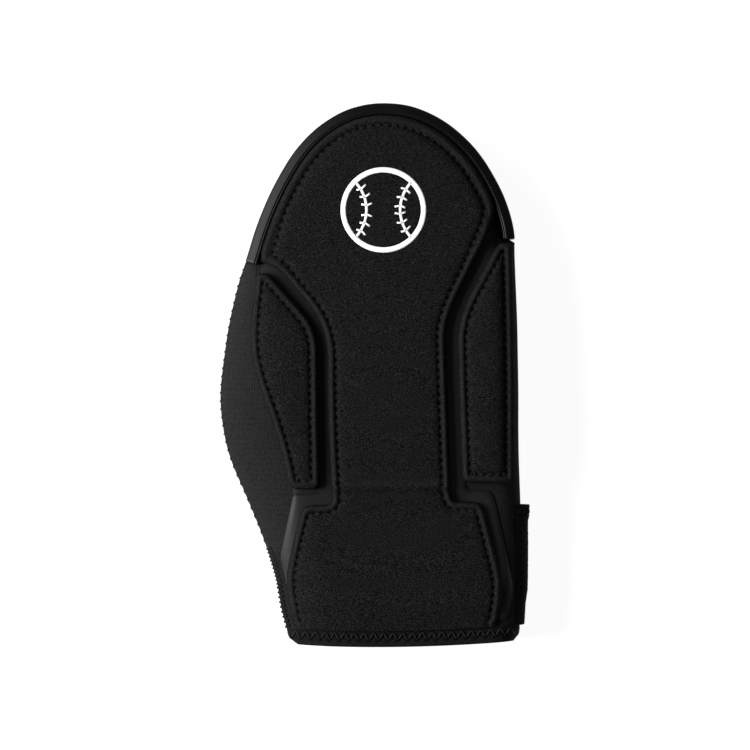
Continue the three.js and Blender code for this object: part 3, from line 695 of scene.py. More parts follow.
class Shader:
    """A material whose nodes are written one after another."""

    def __init__(self, name):
        self.material = bpy.data.materials.new(name)
        self.material.use_nodes = True
        self.tree = self.material.node_tree
        self.tree.nodes.clear()

    def node(self, kind, settings=None, inputs=None, output=0):
        made = self.tree.nodes.new(kind)
        for key, value in (settings or {}).items():
            setattr(made, key, value)
        for key, value in (inputs or {}).items():
            if isinstance(value, Socket):
                self.tree.links.new(value.socket, made.inputs[key])
            else:
                made.inputs[key].default_value = value
        return Socket(self, made.outputs[output]) if made.outputs else None

    def place(self, stretch=None):
        """The place on the piece, with the grain squeezed along each axis by `stretch`."""
        place = self.node("ShaderNodeTexCoord", output="Object")
        if stretch is None:
            return place
        return self.node("ShaderNodeVectorMath", {"operation": "MULTIPLY"}, {0: place, 1: stretch})

    def noise(self, size, detail=2.0, roughness=0.5, where=None):
        """Smooth noise from 0 to 1 whose features are about `size` millimetres across."""
        values = {"Vector": where or self.place(), "Scale": 1000.0 / size}
        return self.node("ShaderNodeTexNoise", {}, {**values, "Detail": detail, "Roughness": roughness})

    def attribute(self, name):
        return self.node("ShaderNodeAttribute", {"attribute_name": name}, output="Fac")

    def axis(self, name):
        return self.node("ShaderNodeSeparateXYZ", {}, {0: self.place()}, output=name)

    def mix_colour(self, mask, first, second):
        inputs = {"Factor": mask, 6: first, 7: second}
        return self.node("ShaderNodeMix", {"data_type": "RGBA"}, inputs, output=2)

    def stretched(self, value, low, high):
        """A value from 0 to 1 over a part of its range."""
        return self.node("ShaderNodeMapRange", {}, {"Value": value, "From Min": low, "From Max": high})

    def darkened(self, colour, mask):
        """The colour, nearly black where the mask is 1: painted shade."""
        return self.mix_colour(mask, colour, grey(PAINTED_SHADE_GREY))

    def wave(self, coordinate, pitch):
        """A sine from 0 to 1 along a coordinate in millimetres."""
        return (coordinate * (2 * math.pi / pitch)).math("SINE") * 0.5 + 0.5

    def bump(self, height, distance, strength):
        """Relief of a height from 0 to 1 that stands for a distance in millimetres."""
        values = {"Height": height, "Distance": distance * 0.001, "Strength": strength}
        return {"Normal": self.node("ShaderNodeBump", {}, values)}

    def finish(self, colour, roughness, specular, others):
        values = {"Base Color": colour, "Roughness": roughness, "Specular IOR Level": specular, **others}
        shader = self.node("ShaderNodeBsdfPrincipled", {}, values)
        self.node("ShaderNodeOutputMaterial", {}, {"Surface": shader})
        return self.material


# Near-black colour of the painted shade in needle holes, creases and other recesses.
PAINTED_SHADE_GREY = 0.0004


def grey(value):
    """A grey with a trace of blue."""
    return (value, value, value * 1.02, 1)


def brushed_fabric():
    """Brushed loop cloth: a fine random pile with a strong grain, with painted shade in the needle holes.
    """
    shader = Shader("brushed_fabric")
    pile = shader.noise(0.6, 1, 0.5, shader.place((1, 1.3, 1)))
    patches = shader.noise(14, 3, 0.6)
    grain = shader.stretched(pile, 0.34, 0.68)
    tone = (grain + patches * 0.12 - 0.06).clamp() ** 1.6
    wear_and_sheen = shader.attribute("wear_and_sheen").clamp()
    colour = shader.mix_colour(tone, grey(0.0015), grey(0.0178))
    # Lighter on the rolled edges, partly worn, stretched cloth and partly painted sheen, and a painted
    # highlight on the cross seam's fold.
    colour = shader.mix_colour(wear_and_sheen * 0.2, colour, grey(0.018))
    # Painted shade: nearly black in the needle holes, in the crease along the panel's edge and below the
    # cross seam's fold.
    colour = shader.darkened(colour, shader.attribute("painted_shade") * 0.8)
    return shader.finish(colour, 0.95, 0.03, shader.bump(pile, 0.25, 0.7))


def plain_fabric(name, dark, light):
    shader = Shader(name)
    pile = shader.noise(0.9, 3, 0.65)
    colour = shader.mix_colour(shader.stretched(pile, 0.3, 0.7), grey(dark), grey(light))
    # Painted shade: nearly black at the needle holes of the hem's zig-zag and of the strap.
    colour = shader.darkened(colour, shader.attribute("painted_shade"))
    return shader.finish(colour, 0.92, 0.04, shader.bump(pile, 0.3, 0.5))


def stretch_knit():
    """Fine jersey: narrow broken ribs along the hand, with a plain finish beside the wrist."""
    shader = Shader("stretch_knit")
    wander = shader.noise(7, 2, 0.5) * 3
    x, y, z = [shader.axis(name) * 1000 for name in ("X", "Y", "Z")]
    ribs = shader.wave(x + z + wander, 1.5)
    courses = shader.wave(y + wander, 2.5)
    strands = shader.noise(0.75, 2, 0.7, shader.place((1, 0.5, 1)))
    knitted = ((y + 92) / 6).clamp()
    loops = (ribs * 0.35 + courses * 0.12) * knitted + strands * 1.5
    colour = shader.mix_colour((loops - 0.48).clamp(), grey(0.0042), grey(0.0165))
    # Painted shade: darker beside the knit's edge, under and between the overlock loops, most at the thick
    # ones.
    colour = shader.darkened(colour, shader.attribute("painted_shade") * 0.85)
    return shader.finish(colour, 0.9, 0.05, shader.bump(loops, 0.18, 0.6))


def coated_film():
    """Smooth coated cloth, more matt in the channels."""
    shader = Shader("coated_film")
    haze = shader.noise(9, 2, 0.5)
    grain = shader.noise(0.6, 2, 0.5)
    colour = shader.mix_colour(haze, grey(0.0028), grey(0.0045))
    # Painted shadow along the film's edge on the outer side, and painted shade along its sewn line.
    colour = shader.darkened(colour, shader.attribute("painted_shade"))
    roughness = haze * 0.08 + 0.5 + shader.attribute("channel") * 0.3
    return shader.finish(colour, roughness, 0.19, shader.bump(grain, 0.03, 0.4))


def rim_rubber():
    shader = Shader("rim_rubber")
    grain = shader.noise(1.2, 3, 0.6)
    colour = shader.mix_colour(grain, grey(0.0024), grey(0.004))
    return shader.finish(colour, grain * 0.06 + 0.34, 0.16, shader.bump(grain, 0.06, 0.4))


def print_ink():
    shader = Shader("white_print")
    weave = shader.noise(0.9, 3, 0.6)
    colour = shader.mix_colour(weave, grey(0.7), grey(0.88))
    return shader.finish(colour, 0.6, 0.3, shader.bump(weave, 0.1, 0.5))


def thread(name, value):
    shader = Shader(name)
    twist = shader.noise(0.4, 1, 0.5)
    colour = shader.mix_colour(twist, grey(value * 0.7), grey(value * 1.3))
    return shader.finish(colour, 0.7, 0.08, {})


BRUSHED = brushed_fabric()
SLEEVE_FABRIC = plain_fabric("sleeve_fabric", 0.0045, 0.0125)
STRETCH_KNIT = stretch_knit()
HEM_FABRIC = plain_fabric("hem_fabric", 0.003, 0.009)
STRAP_FABRIC = plain_fabric("strap_fabric", 0.003, 0.0065)
PALM_FABRIC = plain_fabric("palm_fabric", 0.008, 0.014)
FILM = coated_film()
RUBBER = rim_rubber()
BLACK_THREAD = thread("black_thread", 0.013)
GREY_THREAD = thread("grey_thread", 0.0085)
DARK_THREAD = thread("dark_thread", 0.0015)
KNIT_THREAD = thread("knit_thread", 0.0055)
PRINT = print_ink()

# Pieces


def sleeve_stations(first, last, count):
    """Places along the hand, closer together towards the fingertips."""
    return last - (last - first) * (1 - np.linspace(0, 1, count)) ** 1.25


def seam_across(y):
    """Place across of the knit's seam at each station."""
    along = [row["along"] for row in GUSSET_SEAM][::-1]
    across = [row["across"] for row in GUSSET_SEAM][::-1]
    return HALF_WIDTH * np.interp(along_of(y), along, across)


def wall_strip(form, stations, gap, columns, thumb_side):
    """The part of the wall on one side of the knit's seam."""
    rim_end = y_of(BUMPER_END["left"])
    seam = form.angle_at(seam_across(stations) + gap, stations)
    closed = np.where(stations > rim_end, math.pi - 1e-3, seam)[:, None]
    t = np.linspace(0, 1, columns)[None, :]
    if thumb_side:
        return form.strip(stations, closed + (2 * math.pi - 2 * closed) * t)
    return form.strip(stations, closed - 2 * closed * t)


def hand_sleeve():
    walls = []
    for form in (SLEEVE_OUTSIDE, SLEEVE_INSIDE):
        stations = sleeve_stations(HEM_Y + HEM_LENGTH, form.tip, 170)
        walls.append(wall_strip(form, stations, SEAM_GAP, 121, False))
    return shell_piece("hand_sleeve_cloth", *walls, SLEEVE_FABRIC)


def thumb_gusset():
    stations = np.linspace(HEM_Y + HEM_LENGTH, y_of(BUMPER_END["left"]) - FIT_GAP, 240)
    outer = wall_strip(SLEEVE_OUTSIDE, stations, -SEAM_GAP, 121, True)
    inner = wall_strip(SLEEVE_INSIDE, stations, -SEAM_GAP, 121, True)
    piece = shell_piece("thumb_gusset_knit", outer, inner, STRETCH_KNIT)

    # Painted shade beside the knit's edge where the overlock loops wrap it, strongest at the thick loops.
    def between_overlock(x, y, z):
        beside_edge = near(x - SLEEVE_OUTSIDE.edge(-1, y), 1.7)
        return beside_edge * (1 - smoothstep(y, OVERLOCK_END_Y - OVERLOCK_THICK_LENGTH, OVERLOCK_END_Y))

    store(piece, "painted_shade", between_overlock)
    return piece


HEM_FOLD_Y = HEM_Y + 1.2
HEM_FOLD = 0.4
HEM_LUMPS = 0.14
HEM_HOLE_DEPTH = 0.6


def hem_band():
    """The folded hem, with a rounded fold at its lower edge, small lumps and the zig-zag's needle holes."""
    stations = np.linspace(HEM_Y, HEM_Y + HEM_LENGTH - SEAM_GAP, 25)
    angles = np.linspace(0, 2 * math.pi, 721)[None, :]
    outer = SLEEVE_OUTSIDE.strip(stations, angles)
    inner = HEM_INSIDE.strip(stations, angles)
    x, y = outer[..., 0], outer[..., 1]
    holes = HEM_HOLE_DEPTH * zigzag_hole_share(x.ravel(), y.ravel()).reshape(x.shape)
    relief = HEM_FOLD * near(y - HEM_FOLD_Y, 1.3) + HEM_LUMPS * ripple(x, y, 1.7) - holes
    outer[..., 2] += relief * smoothstep(np.sin(angles), 0.1, 0.5)
    piece = shell_piece("hem_band_fold", outer, inner, HEM_FABRIC)

    # Painted shade in the zig-zag's needle holes on the back, strongest at their lower ends.
    def needle_spots(x, y, z):
        return zigzag_hole_share(x, y) * (z > BACK_HEIGHT / 2)

    store(piece, "painted_shade", needle_spots)
    return piece


def zigzag_hole_share(x, y):
    """1 at the lower ends of the zig-zag, less at its upper ends."""
    ends = zigzag_ends()
    away = np.sqrt((x[:, None] - ends[:, 0]) ** 2 + (y[:, None] - ends[:, 1]) ** 2)
    return np.maximum(near(away[:, ::2].min(axis=1), 1.0), 0.5 * near(away[:, 1::2].min(axis=1), 0.7))


def store(piece, name, value_at):
    """Stores value_at(x, y, z) on each point of a piece, worked out at its place before the hem's bend."""
    mesh = piece.data
    places = np.empty(len(mesh.vertices) * 3)
    mesh.vertices.foreach_get("co", places)
    places = places.reshape(-1, 3) * 1000
    x, y = lower_hem(places)
    value = value_at(x, y, places[:, 2])
    mesh.attributes.new(name, "FLOAT", "POINT").data.foreach_set("value", value.astype(np.float32))


# Padded panels: the rows of mesh beside the edge and the seam
PAD_DEPTHS = [0.1, 0.25, 0.5, 0.8, 1.15, 1.6, 2.1, 2.6]
SEWING_ROWS = [-1.1, -0.75, -0.45, -0.2, 0.0, 0.2, 0.45, 0.75, 1.1]
SEAM_SPACING = 0.55
FIELD_SPACING = 1.4
CLOSEST = 0.3

# Padded panels: the rolled edge, the groove, the needle holes and the field
EDGE_WALL = 0.35
ROLL_REACH = 2.4
ROLL_CREST = 0.35
CREST_DEPTH = 2.2
CREST_REACH = 1.0
GROOVE_DEPTH = 0.7
GROOVE_REACH = 1.15
HOLE_DEPTH = 0.85
HOLE_REACH = 0.65
# CREASE_REACH is the reach of the painted shade in the crease along the panel's sewn edge.
CREASE_REACH = 0.4
FIELD_CROWN = 0.35
FIELD_CROWN_REACH = 4.0

# The cover blown up by the cloth simulation
COVER_RISE = 0.6
COVER_SPACING = 3.0
COVER_PRESSURE = 4.0
COVER_FRAMES = 20
FLAT_COVER_SHARE = 0.7

# Where the centre pad's seam runs deeper, and where the wrist panel's seam and thickness end at the hem
HEAD_DEPTH = 0.9
HEAD_ALONG = {"from": 0.68, "to": 0.76}
HEAD_CORNER = {"extra": 1.3, "y": 64.0, "reach": 12.0, "from": -35.0, "to": -50.0}
HEM_ALONG = {"from": 0.03, "to": 0.08}
SEAM_END_GAP = 1.5

# The fold and the dip of the cross seam, measured from its line
FOLD_PLACE = 2.6
FOLD_HEIGHT = 0.4
FOLD_LUMPS = 0.3
FOLD_REACH = 1.7
DIP_PLACE = -1.2
DIP_DEPTH = 0.45
DIP_REACH = 1.3


class Panel:
    """A sewn padded panel. Its loop runs down the left, along the bottom, up the right and along the top.
    `sewn` names the sides whose edge is rolled and sewn; the others meet a neighbour or the hem flush."""

    def __init__(self, outline, rows, columns, sewn, tip_depth=None, head_depth=0.0):
        self.loop = panel_loop(outline, rows, columns, tip_depth)
        self.head_depth = head_depth
        normals = loop_normals(self.loop)
        ends = np.cumsum([0, rows, columns, rows, columns])
        self.lines = []
        for sides in sewn:
            first = ends[["left", "bottom", "right", "top"].index(sides[0])]
            length = sum(rows if side in ("left", "right") else columns for side in sides)
            index = np.arange(first, first + length + 1) % len(self.loop)
            self.lines.append((self.loop[index], normals[index]))
        self.seams = [self.stitch_line(line, along) for line, along in self.lines]
        self.holes = np.concatenate([self.hole_places(seam) for seam in self.seams])
        self.cover = self.blown_cover()

    def edge_depth(self, x, y):
        """Depth from the nearest sewn edge."""
        return np.min([distance_to_line(x, y, line) for line, _ in self.lines], axis=0)

    def stitch_depth(self, x, y):
        """The seam runs deeper round the centre pad's head, and deepest at its corner on the thumb side."""
        head = smoothstep(y, y_of(HEAD_ALONG["from"]), y_of(HEAD_ALONG["to"]))
        in_corner = near(y - HEAD_CORNER["y"], HEAD_CORNER["reach"])
        in_corner *= smoothstep(x, HEAD_CORNER["from"], HEAD_CORNER["to"])
        return STITCH_DEPTH + self.head_depth * (head + HEAD_CORNER["extra"] * in_corner)

    def stitch_line(self, line, normals):
        depth = self.stitch_depth(line[:, 0], line[:, 1])
        moved = line + normals * depth[:, None]
        kept = moved[deep_enough(self.edge_depth(moved[:, 0], moved[:, 1]), depth)]
        if np.allclose(line[0], line[-1]):
            return closed_line(kept)
        return self.down_to_hem(kept) if kept[:, 1].min() < y_of(HEM_ALONG["to"]) else kept

    @staticmethod
    def down_to_hem(seam):
        """The seam with its lower end lengthened to just above the hem."""
        seam = seam if seam[0, 1] > seam[-1, 1] else seam[::-1]
        step = seam[-1] - seam[-3]
        far = (seam[-1, 1] - HEM_Y - HEM_LENGTH - SEAM_END_GAP) / -step[1]
        return np.concatenate([seam, [seam[-1] + step * far]])

    @staticmethod
    def hole_places(seam):
        return arc_resample(seam, max(int(round(line_length(seam) / STITCH_PITCH)), 1))

    def blown_cover(self):
        """The panel's cloth cover, sewn down at its seams and edges and blown up by a cloth simulation. Its
        heights come out as shares of the highest one."""
        flat, faces = triangulate(self.loop[::2], field_points(self.loop, COVER_SPACING, COVER_SPACING / 2))
        x, y = flat.T
        on_edge = distance_to_line(x, y, closed_line(self.loop)) < 0.5
        sewn_down = on_edge | (self.edge_depth(x, y) < self.stitch_depth(x, y))
        mesh = bpy.data.meshes.new("cover")
        mesh.from_pydata(np.column_stack([flat * 0.001, 0 * x]).tolist(), [], faces.tolist())
        cover = new_object("cover", mesh)
        pins = cover.vertex_groups.new(name="sewn_down")
        pins.add(np.flatnonzero(sewn_down).tolist(), 1.0, "REPLACE")
        cloth = cover.modifiers.new("cloth", "CLOTH")
        cloth.settings.vertex_group_mass = pins.name
        cloth.settings.use_pressure = True
        cloth.settings.uniform_pressure_force = COVER_PRESSURE
        cloth.settings.effector_weights.gravity = 0
        for step in range(COVER_FRAMES):
            bpy.context.scene.frame_set(step + 1)
        blown = cover.evaluated_get(bpy.context.evaluated_depsgraph_get()).to_mesh()
        high = np.array([abs(vertex.co.z) for vertex in blown.vertices])
        share = high / high.max()
        tree = BVHTree.FromPolygons(np.column_stack([flat, share]).tolist(), faces.tolist())
        bpy.data.objects.remove(cover)
        bpy.data.meshes.remove(mesh)
        bpy.context.scene.frame_set(1)
        return tree

    def cover_share(self, x, y):
        """How far the blown cover stands off its seams, from 0 to 1."""
        if self.cover is None:
            return FLAT_COVER_SHARE + 0 * x
        hits = [self.cover.ray_cast((u, v, 2), (0, 0, -1))[0] for u, v in zip(x, y)]
        return np.array([0 if hit is None else hit.z for hit in hits])

    def cloud(self):
        """Points inside the loop: close rows along the rolled edge and the seam, a grid in the field."""
        rows = []
        for seam in self.seams:
            fine = arc_resample(seam, int(line_length(seam) / SEAM_SPACING))
            across = left_of(np.gradient(fine, axis=0))
            rows += [fine + across * offset for offset in SEWING_ROWS]
        rows = np.concatenate(rows)
        deep = distance_to_line(rows[:, 0], rows[:, 1], closed_line(self.loop))
        rows = rows[inside_loop(rows, self.loop) & (deep > PAD_DEPTHS[-1] + 0.2)]
        field = field_points(self.loop, FIELD_SPACING, PAD_DEPTHS[-1] + CLOSEST)
        past = self.edge_depth(field[:, 0], field[:, 1]) - self.stitch_depth(field[:, 0], field[:, 1])
        clear = np.abs(past) > SEWING_ROWS[-1] + CLOSEST
        return np.concatenate([*rings_inside(self.loop, PAD_DEPTHS), spread(rows, CLOSEST), field[clear]])

    def profile(self, x, y):
        """Height over the pad's seat: a rolled edge, a sewn groove with needle holes, then the field."""
        deep = self.edge_depth(x, y)
        roll = np.sqrt(1 - (1 - np.clip(deep / ROLL_REACH, 0, 1)) ** 2)
        edge = PAD_THICKNESS * (EDGE_WALL + (1 - EDGE_WALL) * roll)
        past = deep - self.stitch_depth(x, y)
        crest = ROLL_CREST * near(deep - CREST_DEPTH, CREST_REACH)
        groove = GROOVE_DEPTH * near(past, GROOVE_REACH)
        crown = FIELD_CROWN * (1 - np.exp(-np.maximum(past, 0) / FIELD_CROWN_REACH))
        cover = COVER_RISE * self.cover_share(x, y)
        return edge + crest - groove + crown + cover - HOLE_DEPTH * self.hole_share(x, y)

    def hole_share(self, x, y):
        """1 in the middle of a needle hole, falling to 0 away from it."""
        deep = self.edge_depth(x, y)
        beside_seam = np.flatnonzero(np.abs(deep - self.stitch_depth(x, y)) < 3 * HOLE_REACH)
        share = np.zeros(len(x))
        for low in range(0, len(beside_seam), CHUNK):
            part = beside_seam[low : low + CHUNK]
            away = np.stack([x[part], y[part]], axis=1)[:, None] - self.holes
            share[part] = near(np.sqrt((away**2).sum(axis=2)).min(axis=1), HOLE_REACH)
        return share

    def height(self, x, y):
        return pad_seat_height(x, y) + PAD_LEVEL + self.profile(x, y)


def no_shape(x, y):
    return 0 * x


def padded_panel(name, panel, shape=no_shape):
    """shape(x, y) is an extra change of the upper face's height."""

    def upper(x, y):
        return panel.height(x, y) + shape(x, y)

    def lower(x, y):
        return back_height(x, y) + PAD_LEVEL

    piece = panel_piece(name, panel.loop, panel.cloud(), upper, lower, BRUSHED)
    mark_sewing(piece, panel)
    return piece


def mark_sewing(piece, panel):
    """Stores the lighter rolled edges and the painted shade in needle holes and creases, for the cloth's
    colour.
    """
    beside_cross_seam = panel in (CENTRE, WRIST)

    # Lighter band on the rolled edge, partly worn, stretched cloth and partly painted sheen, and a painted
    # highlight on the cross seam's fold.
    def wear_and_sheen(x, y, z):
        deep = panel.edge_depth(x, y)
        roll = smoothstep(deep, 0.3, 1.4) * (1 - smoothstep(deep, 3.0, 3.8))
        return roll + near(y - CROSS_SEAM_Y - FOLD_PLACE, 1.5) * beside_cross_seam

    # Painted shade: in the needle holes, in the crease along the panel's edge and in dashes along the dip
    # below the cross seam's fold.
    def painted_shade(x, y, z):
        crease = 0.7 * near(panel.edge_depth(x, y), CREASE_REACH)
        dashes = 0.3 + 0.25 * np.sin(x * 4 * math.pi / STITCH_PITCH)
        dashes *= near(y - CROSS_SEAM_Y - DIP_PLACE, 0.8) * beside_cross_seam
        needle = panel.hole_share(x, y) * (1 if panel is CENTRE else 0.7)
        return np.max([needle, crease, dashes], axis=0)

    store(piece, "wear_and_sheen", wear_and_sheen)
    store(piece, "painted_shade", painted_shade)


def lower_hem(places):
    """Flat places before `raise_hem` moved them."""
    x, y = places[:, 0], places[:, 1].copy()
    for _ in range(6):
        share = 1 - smoothstep(along_of(y), 0, HEM_RISE_ALONG)
        y = places[:, 1] - HEM_RISE * (x / HALF_WIDTH) ** 2 * share
    return x, y


CENTRE = Panel(CENTRE_PAD, 160, 100, [("right", "top", "left")], PAD_MARGIN, HEAD_DEPTH)
WRIST = Panel(WRIST_PANEL, 90, 90, [("left",), ("right",)])
THUMB_SIDE = Panel(THUMB_SIDE_PAD, 100, 26, [("left", "bottom", "right", "top")])
OUTER_SIDE = Panel(OUTER_SIDE_PAD, 100, 26, [("left", "bottom", "right", "top")])


def seam_fold(x, y):
    """The cross seam between the neck and the wrist panel: a soft lumpy fold above a shallow dip."""
    away = y - CROSS_SEAM_Y - 0.25 * np.sin(x / 4.7)
    fold = (FOLD_HEIGHT + FOLD_LUMPS * ripple(x, y, 2.1)) * near(away - FOLD_PLACE, FOLD_REACH)
    return fold - DIP_DEPTH * near(away - DIP_PLACE, DIP_REACH)


def hem_tuck(x, y):
    """The wrist panel is thinner than the others, and thins more where it goes under the hem."""
    panel = 0.4 * (1 - smoothstep(y, y_of(0.235), y_of(0.285)))
    hem = 0.53 * (1 - smoothstep(y, y_of(HEM_ALONG["from"]), y_of(HEM_ALONG["to"])))
    return seam_fold(x, y) - PAD_THICKNESS * (panel + hem)


# The base layer: its thinner edge, the sewn line at its corner and the channels, which look more matt
FILM_EDGE = {"share": 0.3, "reach": 2.0}
FILM_SEAM_DEPTH = 0.35
FILM_SEAM_ROWS = [-0.9, -0.6, -0.3, 0, 0.3, 0.6, 0.9]
BELOW_PAD = {"y": (-60.4, -59.4), "x": (-26, -30)}
LOW_CORNER = {"y": (-100, -112), "x": (60, 65)}
THUMB_CHANNEL_Y = (CROSS_SEAM_Y - 3, CROSS_SEAM_Y + 12)


def back_film():
    loop = panel_loop(BACK_FILM, 150, 90, PAD_MARGIN + 1)
    whole = closed_line(loop)

    def sewn_line(x, y):
        return near(distance_to_line(x, y, FILM_SEAM), 0.45)

    def upper(x, y):
        full = smoothstep(distance_to_line(x, y, whole), 0, FILM_EDGE["reach"])
        thick = FILM_THICKNESS * (FILM_EDGE["share"] + (1 - FILM_EDGE["share"]) * full)
        return back_height(x, y) + FILM_LEVEL + thick - FILM_SEAM_DEPTH * sewn_line(x, y)

    def lower(x, y):
        return back_height(x, y) + FILM_LEVEL

    inner = np.concatenate([*rings_inside(loop, (0.2, 0.45, 0.8, 1.2)), field_points(loop, 1.8, 1.5)])
    seam = FILM_SEAM[0] + (FILM_SEAM[1] - FILM_SEAM[0]) * np.linspace(0, 1, 40)[:, None]
    rows = np.concatenate([seam + [0, offset] for offset in FILM_SEAM_ROWS])
    clear = distance_to_line(inner[:, 0], inner[:, 1], FILM_SEAM) > FILM_SEAM_ROWS[-1] + 0.4
    piece = panel_piece("back_film_sheet", loop, np.concatenate([inner[clear], rows]), upper, lower, FILM)

    # Painted shadow along the film's edge on the outer side, away from the light, and painted shade along
    # the sewn line.
    def painted_shadow_lines(x, y, z):
        return np.maximum(0.8 * near(distance_to_line(x, y, whole), 0.35) * (x > 0), sewn_line(x, y))

    def channel(x, y, z):
        below_pad = 0.8 * smoothstep(y, *BELOW_PAD["y"]) * smoothstep(x, *BELOW_PAD["x"])
        low_corner = smoothstep(y, *LOW_CORNER["y"]) * smoothstep(x, *LOW_CORNER["x"])
        thumb_side = smoothstep(y, *THUMB_CHANNEL_Y) * (x < 0)
        return np.max([thumb_side, below_pad, low_corner], axis=0)

    store(piece, "painted_shade", painted_shadow_lines)
    store(piece, "channel", channel)
    return piece


SOLE_ROUND = 1.2


def palm_pad():
    def inside(side, part, soft):
        along = PALM_PAD_ALONG[part]
        across = (mitt_edge(side, y_of(along)) - side * PALM_PAD_MARGIN) / HALF_WIDTH
        return {"across": float(across), "along": along, "soft": soft}

    outline = {
        "left": [inside(-1, "fingers", 1), inside(-1, "waist", 6), inside(-1, "heel", 3)],
        "right": [inside(1, "heel", 3), inside(1, "waist", 4), inside(1, "fingers", 1)],
    }
    loop = panel_loop(outline, 100, 80, PALM_PAD_MARGIN)
    whole = closed_line(loop)

    def top(x, y):
        return SLEEVE_OUTSIDE.heights(x, y)[1] - FIT_GAP

    def sole(x, y):
        deep = distance_to_line(x, y, whole)
        return SOLE_ROUND * (1 - np.sqrt(1 - (1 - np.clip(deep / SOLE_ROUND, 0, 1)) ** 2))

    rings = rings_inside(loop, (0.15, 0.4, 0.8, SOLE_ROUND))
    inner = np.concatenate([*rings, field_points(loop, 2.5, 1.6)])
    return panel_piece("palm_pad_cover", loop, inner, sole, top, PALM_FABRIC)


def fingertip_bumper():
    """The rim: a strip swept round the fingertip end, bevelled above, ridged beside the centre pad."""
    t = np.linspace(0, 1, 150)
    left_y = TIP_Y - (TIP_Y - y_of(BUMPER_END["left"])) * (1 - t[:-1]) ** 2
    right_y = TIP_Y - (TIP_Y - y_of(BUMPER_END["right"])) * t**2
    y = np.concatenate([left_y, right_y])
    x = np.concatenate([mitt_edge(-1, left_y), mitt_edge(1, right_y)])
    inwards = -left_of(np.gradient(np.stack([x, y], axis=1), axis=0))
    crest = BACK_HEIGHT * READ_HEIGHT(along_of(y)) + BUMPER_RISE

    def seat(deep):
        at_x, at_y = x + inwards[:, 0] * deep, y + inwards[:, 1] * deep
        back, palm = SLEEVE_OUTSIDE.heights(at_x, np.minimum(at_y, SLEEVE_OUTSIDE.tip))
        return back + FIT_GAP, palm - FIT_GAP

    low = BUMPER_CLEARANCE
    lip = BUMPER_WIDTH + BUMPER_LIP
    back_wall = BUMPER_WIDTH + 0.1
    section = [(1.6, low), (0.9, low + 0.15), (0.35, low + 0.7), (0.08, low + 1.5), (0.0, low + 3.0)]
    section += [(deep, crest - drop) for deep, drop in RIM_FACE]
    section += [(deep, seat(deep)[0]) for deep in (lip, (lip + BUMPER_WIDTH) / 2, back_wall)]
    section += [(back_wall, seat(back_wall)[1]), (BUMPER_WIDTH, low)]
    rings = [np.column_stack([x + inwards[:, 0] * d, y + inwards[:, 1] * d, z + 0 * x]) for d, z in section]
    grid = np.stack(rings, axis=1)
    index = grid_numbers(grid)
    faces = grid_faces(np.concatenate([index, index[:, :1]], axis=1)).tolist()
    faces.append(index[0].tolist()[::-1])
    faces.append(index[-1].tolist())
    return make_piece("fingertip_bumper_rim", grid.reshape(-1, 3), faces, RUBBER)


# The strap's edge beside the back, its rough pile and its row of needle holes, drawn only as painted shade
STRAP_EDGE = {"share": 0.12, "reach": 0.16}
STRAP_PILE = {"plain": 0.12, "rough": 0.4, "from": 0.87, "to": 0.93}
STRAP_NEEDLES = np.arange(12, STRAP_WIDTH - 11, STITCH_PITCH)
STRAP_NEEDLES_FROM_EDGE = 2.3


def wrist_strap():
    up = np.linspace(0, 1, 150)
    stations = HEM_Y + STRAP_FROM_HEM + STRAP_WIDTH * up
    bulge = STRAP_BULGE * np.interp(up, STRAP_STAND["up"], STRAP_STAND["off"])
    above, under, flat = [2 * math.pi * STRAP_REACH[part] for part in ("above", "under", "flat")]
    t = np.linspace(0, 1, 200)
    angles = above - (above + under) * t**1.3
    wall = SLEEVE_OUTSIDE.strip(stations, angles[None, :])
    run = np.gradient(wall, axis=1)
    run /= np.linalg.norm(run, axis=2)[..., None]
    outwards = np.stack([-run[..., 2], 0 * run[..., 1], run[..., 0]], axis=2)
    loose = np.where(angles > 0, angles / above, -angles / flat)
    stand = FIT_GAP + bulge[:, None] * np.maximum(0, 1 - loose**2)
    inner = wall + outwards * stand[..., None]
    thin_edge = STRAP_EDGE["share"] + (1 - STRAP_EDGE["share"]) * smoothstep(t, 0, STRAP_EDGE["reach"])
    rough_end = smoothstep(up, STRAP_PILE["from"], STRAP_PILE["to"])[:, None]
    pile = STRAP_PILE["plain"] + STRAP_PILE["rough"] * rough_end
    loops = pile * ripple(wall[..., 1], wall[..., 2] + wall[..., 0], 2.3)
    outer = inner + outwards * (STRAP_THICKNESS * thin_edge + loops - 0.2)[..., None]
    piece = shell_piece("wrist_strap_band", outer, inner, STRAP_FABRIC)
    needles = HEM_Y + STRAP_FROM_HEM + STRAP_NEEDLES

    # Painted shade: dark spots at the needle holes in a row beside the strap's edge on the back.
    def needle_row(x, y, z):
        edge = np.interp(y, wall[:, 0, 1], wall[:, 0, 0])
        line = near(x - edge - STRAP_NEEDLES_FROM_EDGE, 0.8) * (z > BACK_HEIGHT / 2)
        return line * near(np.abs(y[:, None] - needles).min(axis=1), 0.9)

    store(piece, "painted_shade", needle_row)
    return piece


# Stitches


